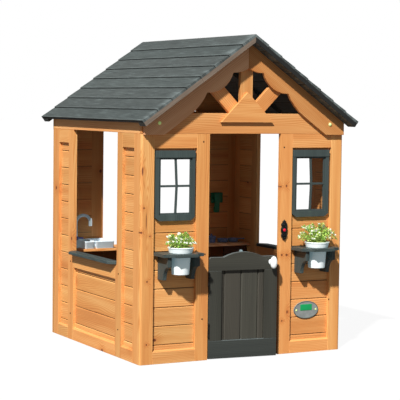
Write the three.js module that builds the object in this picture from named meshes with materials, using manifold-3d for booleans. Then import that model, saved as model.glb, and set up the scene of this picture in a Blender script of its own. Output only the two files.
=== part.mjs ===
// Cedar playhouse with a half door, window boxes, a play kitchen and a shingled gable roof.
// Millimetres, +Z up, the front wall faces -Y. Parts are drawn about the middle of the floor
// plan; the whole is then moved so that the origin is under the middle of its overall box.

import * as THREE from 'three';
import { mergeVertices } from 'three/addons/utils/BufferGeometryUtils.js';
import Module from 'manifold-3d';

const wasm = await Module();
wasm.setup();

// ---------------------------------------------------------------- driving dimensions

const GAP = 0.3; // clearance between pieces that touch
const HALF_W = 494.5; // outer half width of the walls
const HALF_D = 476.5; // outer half depth of the walls
const WALL_T = 20; // panel thickness
const RECESS = 12; // siding set back from the panel frame
const WALL_H = 963; // top of the wall panels
const RAIL_BOTTOM = 58; // top of the bottom rail, where the siding starts
const RAIL_TOP = 903; // underside of the top rail
const RAIL_CHAMFER = 8; // weathered top edge of the bottom rail
const FIRST_JOINT = 80; // height of the lowest siding joint
const BOARD_PITCH = 78.5; // siding and door board width
const CORNER_R = 10; // round-over on the front corners
const SEAM_HALF = 1.1; // half width of the V line where a rail butts against a stile
const SEAM_DEPTH = 1;
const BOARD_SLOT = [2.5, 0.5, 5]; // slot below and above a siding joint, and its depth
const BOARD_CHAMFER = [3.5, 3]; // height and depth of the chamfer under each slot

const FRONT_PANEL_W = 319.5;
const FRONT_STILE = 60;
const SIDE_OPENING = 241; // half width of the side window openings
const SIDE_STILE = 50;
const BACK_OPENING = 246; // half width of the back window opening
const BASE_STILE = 12;
const BASE_TOP = 397.5;
const BASE_RAIL = 335;

const SILL_T = 13;
const SILL_OUT = 32;
const SILL_DEPTH = 48;
const SILL_CLIP = 28;

const RIDGE_Z = 1387;
const EAVE_X = 527.4;
const EAVE_Z = 1019.1;
const ROOF_HALF_L = 549.4;
const SLATS_PER_SIDE = 8;
const SLAT_STEP = 3.5;
const SLAT_UNDER = 13;
const BATTEN_T = 17;
const BATTEN_W = 56.4;

const SIDE_HEADER_TOP = 1022;
const GABLE_HEADER_TOP = 1050;
const POST_W = 60;
const STRUT_AXIS_Z = 1010;
const BARGE_T = 16;
const CUSP_X = 74;
const CUSP_Z = 1223;
const CUSP_DX = 124.5;
const BUMP_DEPTH = 27;
const BARGE_EDGE_Z = 1236; // where the straight lower edge would cross the middle
const BARGE_FOOT_Z = 959;
const BARGE_FOOT_X = 489;
const TRIANGLE_BASE_Z = 1012;
const TRIANGLE_HALF = 129;
const TRIANGLE_T = 12;

const WINDOWS = { left: [-336.5, -334], right: [330.5, 330] }; // middle of the unit and of its lights
const WINDOW_HALF_W = 92.75;
const WINDOW_PANE_HALF = 69;
const WINDOW_Z = [600, 632.5, 740.5, 749.5, 856, 894];
const WINDOW_ROUGH = [6, 12]; // how far the hole behind the lights is wider, left and right
const WINDOW_REBATE = 5; // depth of the shadow gap over the head
const PLANTER_X = 334.75;
const WINDOW_T = 13.5;
const WINDOW_LIP = [8, 8]; // width and thickness of the thinner lip round the lights
const WINDOW_HEAD_PROUD = 2.5;
const WINDOW_CLIP = [19, 14];
const MUNTIN_W = 8.5;
const MUNTIN_SHIFT = 3.9; // right of the middle of the lights
const MUNTIN_BOW = 5;

const SHELF_Z = [457, 470];
const SHELF_HALF = 94;
const SHELF_SHIFT = -4; // the shelf reaches a little further left of its pot than right
const SHELF_OUT = 125;
const SHELF_CLIP = [44, 34]; // width and depth of the hollow front corners
const SHELF_STEP = 5; // small step at each end of a hollow corner
const SHELF_HOLE_R = 44.7;
const BRACKET_IN = 57;
const BRACKET_T = 18;
const BRACKET_OUT = 85;
const BRACKET_FOOT = 38;
const BRACKET_Z = [356, 415];
const POT_Y = -528.5;
const POT_BOTTOM = 380;
const POT_TOP = 495;
const POT_WALL = 3;

const DOOR_LEFT = -171;
const DOOR_W = 320;
const DOOR_BOTTOM = 3;
const DOOR_SHOULDER = 438;
const DOOR_PEAK = 459;
const DOOR_RAIL_BOTTOM = 80;
const DOOR_RAIL_TOP = 380;
const DOOR_FACE_Y = -474.5;
const DOOR_CREST_HALF = 90; // half width of the arch in the top rail
const DOOR_CORNER_R = 12;
const DOOR_GROOVE = [5, 1.5, 3, 5]; // half widths at the face and below, and the two depths
const DOOR_FIRST_GROOVE = 17;
const DOOR_AJAR_DEG = 6;
const KNOB_Z = 412;
const KNOB_GRIP = [15.5, 14, 26.5]; // half width, depth and height of the oval grip
const KNOB_REACH = 27;
const PIN_X = -173;
const PIN_Y = -480;
const PIN_R = 3.4;
const HINGE_H = 56;
const HINGE_Z = { lower: 100, upper: 318 };

const BELL_X = 196;
const BELL_Z = 545;
const BELL_PLATE_T = 7;
const BELL_BUTTON_R = 7;
const PLATE_X = 323;
const PLATE_Z = 187;
const PLATE_HALF = [63.5, 39];
const PLATE_T = 3.5;

const COUNTER_Y = 300;
const COUNTER_Z = [396, 408];
const APRON_Z = 345;
const SINK_X = [-404, -255];
const SINK_Y = [300.5, 440];
const SINK_TOP = 443;
const FAUCET_X = -420;
const FAUCET_Y = 375;
const SPOUT_REACH = 73;
const SPOUT_TOP = 567;
const SPOUT_TIP = 508;
const SPOUT_R = 7;
const LEVER_RISE = 38; // the tap lever's height above the counter
const PANEL_X = 345; // left end of the stove's control panel
const PANEL_SETBACK = 25;
const STOVE_KNOB_X = 438;
const STOVE_KNOB_Z = 365;
const PHONE_X = [338, 400];
const PHONE_Z = [598, 648];
const HANDSET_X = [345.6, 372.4];
const HANDSET_Z = [550, 650];

// ---------------------------------------------------------------- materials

function material(color, roughness, metalness = 0) {
  return new THREE.MeshStandardMaterial({ color, roughness, metalness });
}

const cedar = () => material(0xdb9552, 0.62);
const darkStain = () => material(0x39403d, 0.6);
const roofStain = () => material(0x5b6463, 0.75);
const doorStain = () => material(0x45423b, 0.6);
const whitePlastic = () => material(0xf1f2f2, 0.35);
const greyPlastic = () => material(0xbcc6cc, 0.4);
const bluePlastic = () => material(0x1d2a63, 0.4);
const greenPlastic = () => material(0x0f6e52, 0.4);
const blackPlastic = () => material(0x1d2022, 0.45);
const redPlastic = () => material(0xd5203a, 0.35);
const ironwork = () => material(0x2a2a2a, 0.5, 0.8);
const foliage = () => material(0x6f9a38, 0.8);

// ---------------------------------------------------------------- solids

function toSolid(geometry) {
  const bare = geometry.clone();
  bare.deleteAttribute('normal');
  bare.deleteAttribute('uv');
  const merged = mergeVertices(bare, 1e-4);
  return new wasm.Manifold(new wasm.Mesh({
    numProp: 3,
    vertProperties: new Float32Array(merged.attributes.position.array),
    triVerts: new Uint32Array(merged.index.array),
  }));
}

function toGeometry(solid) {
  const mesh = solid.getMesh();
  const geometry = new THREE.BufferGeometry();
  geometry.setAttribute('position', new THREE.BufferAttribute(mesh.vertProperties, 3));
  geometry.setIndex(new THREE.BufferAttribute(mesh.triVerts, 1));
  geometry.computeVertexNormals();
  return geometry;
}

function join(first, ...others) {
  return toGeometry(others.reduce((solid, other) => solid.add(toSolid(other)), toSolid(first)));
}

function cut(first, ...tools) {
  return toGeometry(tools.reduce((solid, tool) => solid.subtract(toSolid(tool)), toSolid(first)));
}

function box(x, y, z) {
  const [x0, x1] = [Math.min(...x), Math.max(...x)];
  const [y0, y1] = [Math.min(...y), Math.max(...y)];
  const [z0, z1] = [Math.min(...z), Math.max(...z)];
  const geometry = new THREE.BoxGeometry(x1 - x0, y1 - y0, z1 - z0);
  return geometry.translate((x0 + x1) / 2, (y0 + y1) / 2, (z0 + z1) / 2);
}

function extrude(outline, holes, depth) {
  const shape = new THREE.Shape(outline.map(([a, b]) => new THREE.Vector2(a, b)));
  shape.holes = holes.map((hole) => new THREE.Path(hole.map(([a, b]) => new THREE.Vector2(a, b))));
  return new THREE.ExtrudeGeometry(shape, { depth, bevelEnabled: false });
}

// An outline in x and z, extruded from one y to the other.
function prismY(outline, y, holes = []) {
  const [y0, y1] = [Math.min(...y), Math.max(...y)];
  return extrude(outline, holes, y1 - y0).rotateX(Math.PI / 2).translate(0, y1, 0);
}

// An outline in y and z, extruded from one x to the other.
function prismX(outline, x, holes = []) {
  const [x0, x1] = [Math.min(...x), Math.max(...x)];
  const turn = new THREE.Matrix4().makeBasis(
    new THREE.Vector3(0, 1, 0),
    new THREE.Vector3(0, 0, 1),
    new THREE.Vector3(1, 0, 0),
  );
  return extrude(outline, holes, x1 - x0).applyMatrix4(turn).translate(x0, 0, 0);
}

// An outline in x and y, extruded from one z to the other.
function prismZ(outline, z, holes = []) {
  return extrude(outline, holes, z[1] - z[0]).translate(0, 0, z[0]);
}

function rectangle(a, b) {
  return [[a[0], b[0]], [a[1], b[0]], [a[1], b[1]], [a[0], b[1]]];
}

function arc(cx, cy, rx, ry, fromDeg, toDeg, steps) {
  return Array.from({ length: steps + 1 }, (_, i) => {
    const t = THREE.MathUtils.degToRad(fromDeg + ((toDeg - fromDeg) * i) / steps);
    return [cx + rx * Math.cos(t), cy + ry * Math.sin(t)];
  });
}

function roundedRectangle(a, b, r, steps = 4) {
  return [
    ...arc(a[1] - r, b[0] + r, r, r, -90, 0, steps),
    ...arc(a[1] - r, b[1] - r, r, r, 0, 90, steps),
    ...arc(a[0] + r, b[1] - r, r, r, 90, 180, steps),
    ...arc(a[0] + r, b[0] + r, r, r, 180, 270, steps),
  ];
}

// A solid of revolution about a vertical axis; the profile is [radius, z] pairs.
function lathe(profile, steps, x = 0, y = 0) {
  const points = profile.map(([r, z]) => new THREE.Vector2(r, z));
  return new THREE.LatheGeometry(points, steps).rotateX(Math.PI / 2).translate(x, y, 0);
}

// ---------------------------------------------------------------- wall faces

// A wall face is 'front', 'back', 'left' or 'right'. Outlines are drawn in the run along
// the wall and z; depth counts inwards from the outer plane.
const FACES = {
  front: { along: 'x', half: HALF_D, side: -1 },
  back: { along: 'x', half: HALF_D, side: 1 },
  left: { along: 'y', half: HALF_W, side: -1 },
  right: { along: 'y', half: HALF_W, side: 1 },
};

function acrossWall(face, outline, depth, holes = []) {
  const { along, half, side } = FACES[face];
  const span = depth.map((d) => side * (half - d));
  return along === 'x' ? prismY(outline, span, holes) : prismX(outline, span, holes);
}

// A section in depth and z, run along the wall between two stations.
function alongWall(face, section, run) {
  const { along, half, side } = FACES[face];
  const outline = section.map(([d, z]) => [side * (half - d), z]);
  return along === 'x' ? prismX(outline, run) : prismY(outline, run);
}

// A V cut in the outer face, upright at one station along the wall.
function seam(face, station, z) {
  const { along, half, side } = FACES[face];
  const out = side * (half + 1);
  const deep = side * (half - SEAM_DEPTH);
  const spread = (SEAM_HALF * (SEAM_DEPTH + 1)) / SEAM_DEPTH;
  const ends = [[station - spread, out], [station, deep], [station + spread, out]];
  return prismZ(along === 'x' ? ends : ends.map(([a, b]) => [b, a]), z);
}

function panelFrame(face, run, stiles, topRail = RAIL_TOP, top = WALL_H) {
  const inner = [run[0] + stiles[0], run[1] - stiles[1]];
  const outline = rectangle(run, [0, top]);
  const hole = rectangle(inner, [RAIL_BOTTOM, topRail]);
  const wedge = [
    [-1, RAIL_BOTTOM - RAIL_CHAMFER],
    [RECESS, RAIL_BOTTOM],
    [RECESS, RAIL_BOTTOM + 1],
    [-1, RAIL_BOTTOM + 1],
  ];
  const rails = [[-1, RAIL_BOTTOM + 1], [topRail - 1, top + 1]];
  const seams = inner.flatMap((station) => rails.map((z) => seam(face, station, z)));
  return cut(acrossWall(face, outline, [0, WALL_T], [hole]), alongWall(face, wedge, inner), ...seams);
}

// The groove between two siding boards, from the face of the lower one to the upper one.
function boardJoint(z) {
  const [below, above, deep] = BOARD_SLOT;
  const [rise, inset] = BOARD_CHAMFER;
  return [
    [RECESS, z - below - rise], [RECESS + inset, z - below], [RECESS + deep, z - below],
    [RECESS + deep, z + above], [RECESS, z + above],
  ];
}

function sidingBoards(face, run, topRail = RAIL_TOP) {
  const bottom = RAIL_BOTTOM + GAP;
  const top = topRail - GAP;
  const section = [[RECESS, bottom]];
  const back = [];
  for (let z = FIRST_JOINT; z < top - 10; z += BOARD_PITCH) {
    section.push(...boardJoint(z));
    back.unshift([WALL_T, z + 1.5], [WALL_T - 1.2, z], [WALL_T, z - 1.5]);
  }
  section.push([RECESS, top], [WALL_T, top], ...back, [WALL_T, bottom]);
  return alongWall(face, section, [run[0] + GAP, run[1] - GAP]);
}

// Frame and boards of one panel as one solid, for the walls that stand away from the viewer.
function wholePanel(face, run, stiles, topRail = RAIL_TOP, top = WALL_H) {
  const frame = panelFrame(face, run, stiles, topRail, top);
  const boards = alongWall(face, insetSection(topRail), [run[0] + stiles[0] - 1, run[1] - stiles[1] + 1]);
  return join(frame, boards);
}

function insetSection(topRail) {
  const section = [[RECESS, RAIL_BOTTOM - 1]];
  for (let z = FIRST_JOINT; z < topRail - 10; z += BOARD_PITCH) {
    section.push(...boardJoint(z));
  }
  section.push([RECESS, topRail + 1], [WALL_T, topRail + 1], [WALL_T, RAIL_BOTTOM - 1]);
  return section;
}

function roundedCorner(geometry, sx) {
  const x = sx * HALF_W;
  const y = -HALF_D;
  const turn = arc(x - sx * CORNER_R, y + CORNER_R, CORNER_R, CORNER_R, -90, sx < 0 ? -180 : 0, 6);
  const outline = [...turn, [x + sx, y + CORNER_R], [x + sx, y - 1], [x - sx * CORNER_R, y - 1]];
  return cut(geometry, prismZ(outline, [-1, WALL_H + 1]));
}

// ---------------------------------------------------------------- the parts

const playhouse = new THREE.Group();
playhouse.position.y = (HALF_D + SHELF_OUT - ROOF_HALF_L) / 2;

function add(name, geometry, mat, parent = playhouse) {
  const mesh = new THREE.Mesh(geometry, mat);
  mesh.name = name;
  parent.add(mesh);
  return mesh;
}

// The rough opening behind the lights, and the shadow gap between the unit's head and the rail above.
function windowCuts(name) {
  const [unitX, paneX] = WINDOWS[name];
  const [wideLeft, wideRight] = WINDOW_ROUGH;
  const opening = box(
    [paneX - WINDOW_PANE_HALF - wideLeft, paneX + WINDOW_PANE_HALF + wideRight],
    [-HALF_D, -HALF_D + 2 * WALL_T],
    [WINDOW_Z[1] - wideLeft, WINDOW_Z[4] + wideLeft],
  );
  const gap = box(
    [unitX - WINDOW_HALF_W, unitX + WINDOW_HALF_W],
    [-HALF_D, -HALF_D + RECESS + WINDOW_REBATE],
    [WINDOW_Z[5] + GAP, RAIL_TOP + 1],
  );
  return [opening, gap];
}

function buildFrontWall() {
  for (const [name, side] of [['left', -1], ['right', 1]]) {
    const outer = side * HALF_W;
    const inner = side * (HALF_W - FRONT_PANEL_W);
    const run = [Math.min(outer, inner), Math.max(outer, inner)];
    const frame = panelFrame('front', run, [FRONT_STILE, FRONT_STILE]);
    add(`front_${name}_frame`, roundedCorner(frame, side), cedar());
    const boards = sidingBoards('front', [run[0] + FRONT_STILE, run[1] - FRONT_STILE]);
    add(`front_${name}_siding`, cut(boards, ...windowCuts(name)), cedar());
  }
}

const SIDE_END = HALF_D - WALL_T - GAP;

function buildLeftWall() {
  const corners = { front: [-SIDE_END, -SIDE_OPENING], rear: [SIDE_OPENING, SIDE_END] };
  for (const [name, run] of Object.entries(corners)) {
    add(`left_${name}_frame`, panelFrame('left', run, [SIDE_STILE, SIDE_STILE]), cedar());
    add(`left_${name}_siding`, sidingBoards('left', [run[0] + SIDE_STILE, run[1] - SIDE_STILE]), cedar());
  }
  const base = [-SIDE_OPENING + GAP, SIDE_OPENING - GAP];
  const frame = panelFrame('left', base, [BASE_STILE, BASE_STILE], BASE_RAIL, BASE_TOP);
  add('left_base_frame', frame, cedar());
  const boards = sidingBoards('left', [base[0] + BASE_STILE, base[1] - BASE_STILE], BASE_RAIL);
  add('left_base_siding', boards, cedar());
}

function buildRightWall() {
  const corners = { front: [-SIDE_END, -SIDE_OPENING], rear: [SIDE_OPENING, SIDE_END] };
  for (const [name, run] of Object.entries(corners)) {
    add(`right_${name}_panel`, wholePanel('right', run, [SIDE_STILE, SIDE_STILE]), cedar());
  }
  const base = [-SIDE_OPENING + GAP, SIDE_OPENING - GAP];
  const panel = wholePanel('right', base, [BASE_STILE, BASE_STILE], BASE_RAIL, BASE_TOP);
  add('right_base_panel', panel, cedar());
}

function buildBackWall() {
  for (const [name, side] of [['left', -1], ['right', 1]]) {
    const run = [side * HALF_W, side * BACK_OPENING].sort((a, b) => a - b);
    add(`back_${name}_panel`, wholePanel('back', run, [FRONT_STILE, FRONT_STILE]), cedar());
  }
  const base = [-BACK_OPENING + GAP, BACK_OPENING - GAP];
  const panel = wholePanel('back', base, [BASE_STILE, BASE_STILE], BASE_RAIL, BASE_TOP);
  add('back_base_panel', panel, cedar());
}

function buildSills() {
  const z = [BASE_TOP + GAP, BASE_TOP + GAP + SILL_T];
  const end = SIDE_OPENING - 2 * GAP;
  for (const [name, side] of [['left', -1], ['right', 1]]) {
    const out = side * (HALF_W + SILL_OUT);
    const clip = out - side * SILL_CLIP;
    const inner = out - side * SILL_DEPTH;
    const plan = [
      [inner, -end], [clip, -end], [out, -end + SILL_CLIP],
      [out, end - SILL_CLIP], [clip, end], [inner, end],
    ];
    add(`${name}_sill`, prismZ(plan, z), darkStain());
  }
}

// ---------------------------------------------------------------- roof

const SLOPE = Math.atan2(RIDGE_Z - EAVE_Z, EAVE_X);
const SLOPE_RUN = Math.hypot(EAVE_X, RIDGE_Z - EAVE_Z);
const SLAT_W = SLOPE_RUN / SLATS_PER_SIDE;

// Height of the line that lies n below the roof surface, at a distance x from the middle.
function roofLine(x, n) {
  return RIDGE_Z - n / Math.cos(SLOPE) - Math.abs(x) * Math.tan(SLOPE);
}

// A point s down the slope from the ridge and n above its surface.
function onSlope(side, s, n) {
  return [
    side * (s * Math.cos(SLOPE) + n * Math.sin(SLOPE)),
    RIDGE_Z - s * Math.sin(SLOPE) + n * Math.cos(SLOPE),
  ];
}

// The distance down the slope at which a line n below the surface meets the middle.
function ridgeCut(n) {
  return n * Math.tan(SLOPE) + GAP;
}

function slatSection(side, first, last) {
  const start = first * SLAT_W + (first ? GAP : 0);
  const end = last * SLAT_W - (last < SLATS_PER_SIDE ? GAP : 0);
  const points = [];
  for (let i = first; i < last; i += 1) {
    const top = i === 0 ? [ridgeCut(2), -2] : [Math.max(i * SLAT_W, start), -SLAT_STEP];
    points.push(top, [Math.min((i + 1) * SLAT_W, end), 0]);
  }
  points.push([end, -SLAT_UNDER], [first ? start : ridgeCut(SLAT_UNDER), -SLAT_UNDER]);
  return points.map(([s, n]) => onSlope(side, s, n));
}

function battenSection(side, first, last, stop) {
  const low = -SLAT_UNDER - BATTEN_T;
  const high = -SLAT_UNDER + 1;
  const end = last < SLATS_PER_SIDE ? last * SLAT_W - GAP : stop;
  const starts = first ? [first * SLAT_W + GAP, first * SLAT_W + GAP] : [ridgeCut(-high), ridgeCut(-low)];
  const points = [[starts[0], high], [end, high], [end, low], [starts[1], low]];
  return points.map(([s, n]) => onSlope(side, s, n));
}

function buildRoof() {
  const rows = { upper: [0, SLATS_PER_SIDE / 2], lower: [SLATS_PER_SIDE / 2, SLATS_PER_SIDE] };
  const insideStop = (HALF_W - 2 * WALL_T) / Math.cos(SLOPE);
  const gableStop = SLOPE_RUN - 1;
  for (const [sideName, side] of [['left', -1], ['right', 1]]) {
    for (const [rowName, [first, last]] of Object.entries(rows)) {
      const slats = prismY(slatSection(side, first, last), [-ROOF_HALF_L, ROOF_HALF_L]);
      const gable = battenSection(side, first, last, gableStop);
      const middle = battenSection(side, first, last, insideStop);
      const panel = join(
        slats,
        prismY(gable, [-ROOF_HALF_L, -ROOF_HALF_L + BATTEN_W]),
        prismY(gable, [ROOF_HALF_L - BATTEN_W, ROOF_HALF_L]),
        prismY(middle, [-BATTEN_W / 2, BATTEN_W / 2]),
      );
      add(`roof_${sideName}_${rowName}`, panel, roofStain());
    }
  }
}

// ---------------------------------------------------------------- headers and gables

function gableHeader() {
  const z = WALL_H + GAP;
  const under = roofLine(HALF_W, SLAT_UNDER) - 1;
  const reach = (roofLine(0, SLAT_UNDER) - 1 - GABLE_HEADER_TOP) / Math.tan(SLOPE);
  return [
    [-HALF_W, z], [HALF_W, z], [HALF_W, under], [reach, GABLE_HEADER_TOP],
    [-reach, GABLE_HEADER_TOP], [-HALF_W, under],
  ];
}

function kingPost(bottom) {
  const w = POST_W / 2;
  const top = (x) => roofLine(x, SLAT_UNDER) - GAP;
  return [[-w, bottom], [w, bottom], [w, top(w)], [0, top(0)], [-w, top(w)]];
}

// A 45 degree strut between the king post, the header and the roof.
function strut(side, inner, bottom) {
  const half = POST_W / Math.SQRT2;
  const lower = STRUT_AXIS_Z - half;
  const upper = STRUT_AXIS_Z + half;
  const crown = roofLine(0, SLAT_UNDER) - GAP;
  const meet = (line) => (crown - line) / (1 + Math.tan(SLOPE));
  const points = [
    [inner, bottom], [bottom - lower, bottom], [meet(lower), meet(lower) + lower],
    [meet(upper), meet(upper) + upper], [inner, inner + upper],
  ];
  return points.map(([x, z]) => [side * x, z]);
}

// Points along a circular arc from a to b that bulges to the right of a-b.
function bulge(a, b, rise, steps) {
  const chord = Math.hypot(b[0] - a[0], b[1] - a[1]);
  const radius = (chord * chord / 4 + rise * rise) / (2 * rise);
  const half = Math.asin(chord / 2 / radius);
  const dir = [(b[0] - a[0]) / chord, (b[1] - a[1]) / chord];
  const right = [dir[1], -dir[0]];
  return Array.from({ length: steps + 1 }, (_, i) => {
    const t = -half + (2 * half * i) / steps;
    const along = chord / 2 + radius * Math.sin(t);
    const out = radius * (Math.cos(t) - Math.cos(half));
    return [a[0] + dir[0] * along + right[0] * out, a[1] + dir[1] * along + right[1] * out];
  });
}

// The scalloped board under one slope of a gable. Its lower edge runs up from the foot in
// a straight line, then in three round bumps between cusps that follow the slope.
function bargeBoard(side) {
  const t = Math.tan(SLOPE);
  const cusp = (k) => [CUSP_X + k * CUSP_DX, CUSP_Z - k * CUSP_DX * t];
  const blend = CUSP_X + 1.7 * CUSP_DX;
  const straight = [blend, BARGE_EDGE_Z - blend * t];
  const top = (x) => [x, roofLine(x, SLAT_UNDER) - GAP];
  const middle = bulge(cusp(0), cusp(-1), -BUMP_DEPTH, 14).filter(([x]) => x > GAP);
  const last = middle[middle.length - 1];
  const lower = [
    [(BARGE_EDGE_Z - BARGE_FOOT_Z) / t, BARGE_FOOT_Z],
    ...bulge(straight, cusp(1), -9, 4),
    ...bulge(cusp(1), cusp(0), -BUMP_DEPTH, 8).slice(1),
    ...middle.slice(1),
    [GAP, last[1] + 4],
  ];
  const outline = [[BARGE_FOOT_X, BARGE_FOOT_Z], ...lower, top(GAP), top(BARGE_FOOT_X)];
  return outline.map(([x, z]) => [side * x, z]);
}

function buildHeaders() {
  add('front_header', acrossWall('front', gableHeader(), [0, WALL_T]), cedar());
  for (const [name, side] of [['left', -1], ['right', 1]]) {
    const x = [side * HALF_W, side * (HALF_W - WALL_T)];
    add(`${name}_header`, box(x, [-SIDE_END, SIDE_END], [WALL_H + GAP, SIDE_HEADER_TOP]), cedar());
  }
}

function buildFrontGable() {
  const bottom = GABLE_HEADER_TOP + GAP;
  const barge = [-GAP - BARGE_T, -GAP];
  add('front_king_post', acrossWall('front', kingPost(bottom), [0, WALL_T]), cedar());
  for (const [name, side] of [['left', -1], ['right', 1]]) {
    const brace = strut(side, POST_W / 2 + GAP, bottom);
    add(`front_strut_${name}`, acrossWall('front', brace, [0, WALL_T]), cedar());
    add(`front_barge_${name}`, acrossWall('front', bargeBoard(side), barge), cedar());
  }
  const plate = [
    [-TRIANGLE_HALF, TRIANGLE_BASE_Z],
    [TRIANGLE_HALF, TRIANGLE_BASE_Z],
    [0, TRIANGLE_BASE_Z + TRIANGLE_HALF],
  ];
  add('gable_triangle', acrossWall('front', plate, [-GAP - TRIANGLE_T, -GAP]), cedar());
}

function buildBackGable() {
  const depth = [0, WALL_T];
  const bottom = GABLE_HEADER_TOP - 1;
  const truss = join(
    acrossWall('back', gableHeader(), depth),
    acrossWall('back', kingPost(bottom), depth),
    acrossWall('back', strut(-1, POST_W / 2 - 1, bottom), depth),
    acrossWall('back', strut(1, POST_W / 2 - 1, bottom), depth),
  );
  add('back_truss', truss, cedar());
  const barge = [-GAP - BARGE_T, -GAP];
  const lap = box([-1, 1], barge.map((d) => HALF_D - d), [CUSP_Z + 30, roofLine(1, SLAT_UNDER) - 2]);
  const boards = [-1, 1].map((side) => acrossWall('back', bargeBoard(side), barge));
  add('back_barge', join(boards[0], boards[1], lap), cedar());
}

// ---------------------------------------------------------------- windows

function buildWindow(name) {
  const [unitX, paneX] = WINDOWS[name];
  const x = paneX + MUNTIN_SHIFT;
  const [bottom, paneBottom, barBottom, barTop, paneTop, top] = WINDOW_Z;
  const back = -HALF_D + RECESS - GAP;
  const [left, right] = [unitX - WINDOW_HALF_W, unitX + WINDOW_HALF_W];
  const [paneLeft, paneRight] = [paneX - WINDOW_PANE_HALF, paneX + WINDOW_PANE_HALF];
  const [clipX, clipZ] = WINDOW_CLIP;
  const outline = [
    [left + clipX, bottom], [right - clipX, bottom], [right, bottom + clipZ],
    [right, top], [left, top], [left, bottom + clipZ],
  ];
  const pane = rectangle([paneLeft, paneRight], [paneBottom, paneTop]);
  const w = MUNTIN_W / 2;
  const middle = (barBottom + barTop) / 2;
  const bow = [
    [x - w - 2, paneBottom - 2], [x + w - 2, paneBottom - 2], [x + w + MUNTIN_BOW - 2, middle],
    [x + w - 3, paneTop + 2], [x - w - 3, paneTop + 2], [x - w + MUNTIN_BOW - 2, middle],
  ];
  const bar = rectangle([paneLeft - 2, paneRight + 2], [barBottom, barTop]);
  const [lipW, lipT] = WINDOW_LIP;
  const light = rectangle([paneLeft - lipW, paneRight + lipW], [paneBottom - lipW, paneTop + lipW]);
  const unit = join(
    prismY(outline, [back, back - lipT], [pane]),
    prismY(outline, [back - lipT + 1, back - WINDOW_T], [light]),
    box([left, right], [back, back - WINDOW_T - WINDOW_HEAD_PROUD], [paneTop + lipW, top]),
    prismY(bow, [back - 1, back - lipT - 1]),
    prismY(bar, [back - 1.5, back - lipT - 0.5]),
  );
  add(`window_${name}`, unit, darkStain());
}

// ---------------------------------------------------------------- planters

function buildPlanter(name, side, spread, height) {
  const x = side * PLANTER_X;
  const back = -HALF_D + RECESS - GAP;
  const front = -HALF_D - SHELF_OUT;
  const [cx, cy] = SHELF_CLIP;
  const [left, right] = [x + SHELF_SHIFT - SHELF_HALF, x + SHELF_SHIFT + SHELF_HALF];
  const step = SHELF_STEP;
  const plan = [
    [left, back], [left, front + cy], ...arc(left + step, front + step, cx - step, cy - step, 90, 0, 6),
    [left + cx, front], [right - cx, front],
    ...arc(right - step, front + step, cx - step, cy - step, 180, 90, 6), [right, front + cy], [right, back],
  ];
  const hole = arc(x, POT_Y, SHELF_HOLE_R, SHELF_HOLE_R, 0, 345, 23);
  add(`planter_shelf_${name}`, prismZ(plan, SHELF_Z, [hole]), darkStain());

  for (const [end, sign] of [['a', -1], ['b', 1]]) {
    const near = x + sign * BRACKET_IN;
    const out = -HALF_D - BRACKET_OUT;
    const foot = -HALF_D - BRACKET_FOOT;
    const cove = arc(out, BRACKET_Z[0], foot - out, BRACKET_Z[1] - BRACKET_Z[0], 90, 0, 8);
    const top = SHELF_Z[0] - GAP;
    const outline = [[back, BRACKET_Z[0]], [back, top], [out, top], ...cove];
    const plate = prismX(outline, [near, near + sign * BRACKET_T]);
    add(`planter_bracket_${name}_${end}`, plate, darkStain());
  }

  const ledge = SHELF_Z[1] + GAP;
  const pot = [
    [0, POT_BOTTOM], [36.5, POT_BOTTOM], [43, ledge], [48, ledge], [55, POT_TOP],
    [52, POT_TOP], [46, ledge + POT_WALL], [40, ledge], [33.5, POT_BOTTOM + POT_WALL],
    [0, POT_BOTTOM + POT_WALL],
  ];
  add(`flower_pot_${name}`, lathe(pot, 36, x, POT_Y), whitePlastic());

  const floor = POT_BOTTOM + POT_WALL + GAP;
  const lip = POT_TOP + GAP;
  const soil = [[0, floor], [32, floor], [38.5, ledge], [44.5, ledge + 4], [49, lip + 1], [0, lip + 1]];
  const ball = new THREE.SphereGeometry(1, 20, 12).scale(spread, 46, height);
  ball.translate(x, POT_Y, POT_TOP + 0.6 * height);
  const under = box([x - 2 * spread, x + 2 * spread], [POT_Y - 99, POT_Y + 99], [POT_BOTTOM, lip]);
  const crown = cut(ball, under);
  add(`plant_${name}`, join(lathe(soil, 36, x, POT_Y), crown), foliage());
}

// ---------------------------------------------------------------- door

function doorOutline() {
  const [near, far] = [DOOR_W / 2 - DOOR_CREST_HALF, DOOR_W / 2 + DOOR_CREST_HALF];
  const crest = bulge([far, DOOR_SHOULDER], [near, DOOR_SHOULDER], DOOR_PEAK - DOOR_SHOULDER, 12);
  const r = DOOR_CORNER_R;
  return [
    [0, DOOR_BOTTOM], [DOOR_W, DOOR_BOTTOM],
    ...arc(DOOR_W - r, DOOR_SHOULDER - r, r, r, 0, 90, 4),
    ...crest,
    ...arc(r, DOOR_SHOULDER - r, r, r, 90, 180, 4),
  ];
}

function doorPlanks() {
  const [a, b] = [FRONT_STILE + GAP, DOOR_W - FRONT_STILE - GAP];
  const [wide, narrow, chamfer, deep] = DOOR_GROOVE;
  const plan = [[a, RECESS]];
  for (let s = FRONT_STILE + DOOR_FIRST_GROOVE; s < b; s += BOARD_PITCH) {
    plan.push([s - wide, RECESS], [s - narrow, RECESS + chamfer], [s - narrow, RECESS + deep]);
    plan.push([s + narrow, RECESS + deep], [s + narrow, RECESS + chamfer], [s + wide, RECESS]);
  }
  plan.push([b, RECESS], [b, WALL_T], [a, WALL_T]);
  return prismZ(plan, [DOOR_RAIL_BOTTOM + GAP, DOOR_RAIL_TOP - GAP]);
}

// A level V cut in the leaf's outer face, where a rail meets the stiles.
function doorSeam(z, run) {
  const spread = (SEAM_HALF * (SEAM_DEPTH + 1)) / SEAM_DEPTH;
  return prismX([[-1, z - spread], [SEAM_DEPTH, z], [-1, z + spread]], run);
}

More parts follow.
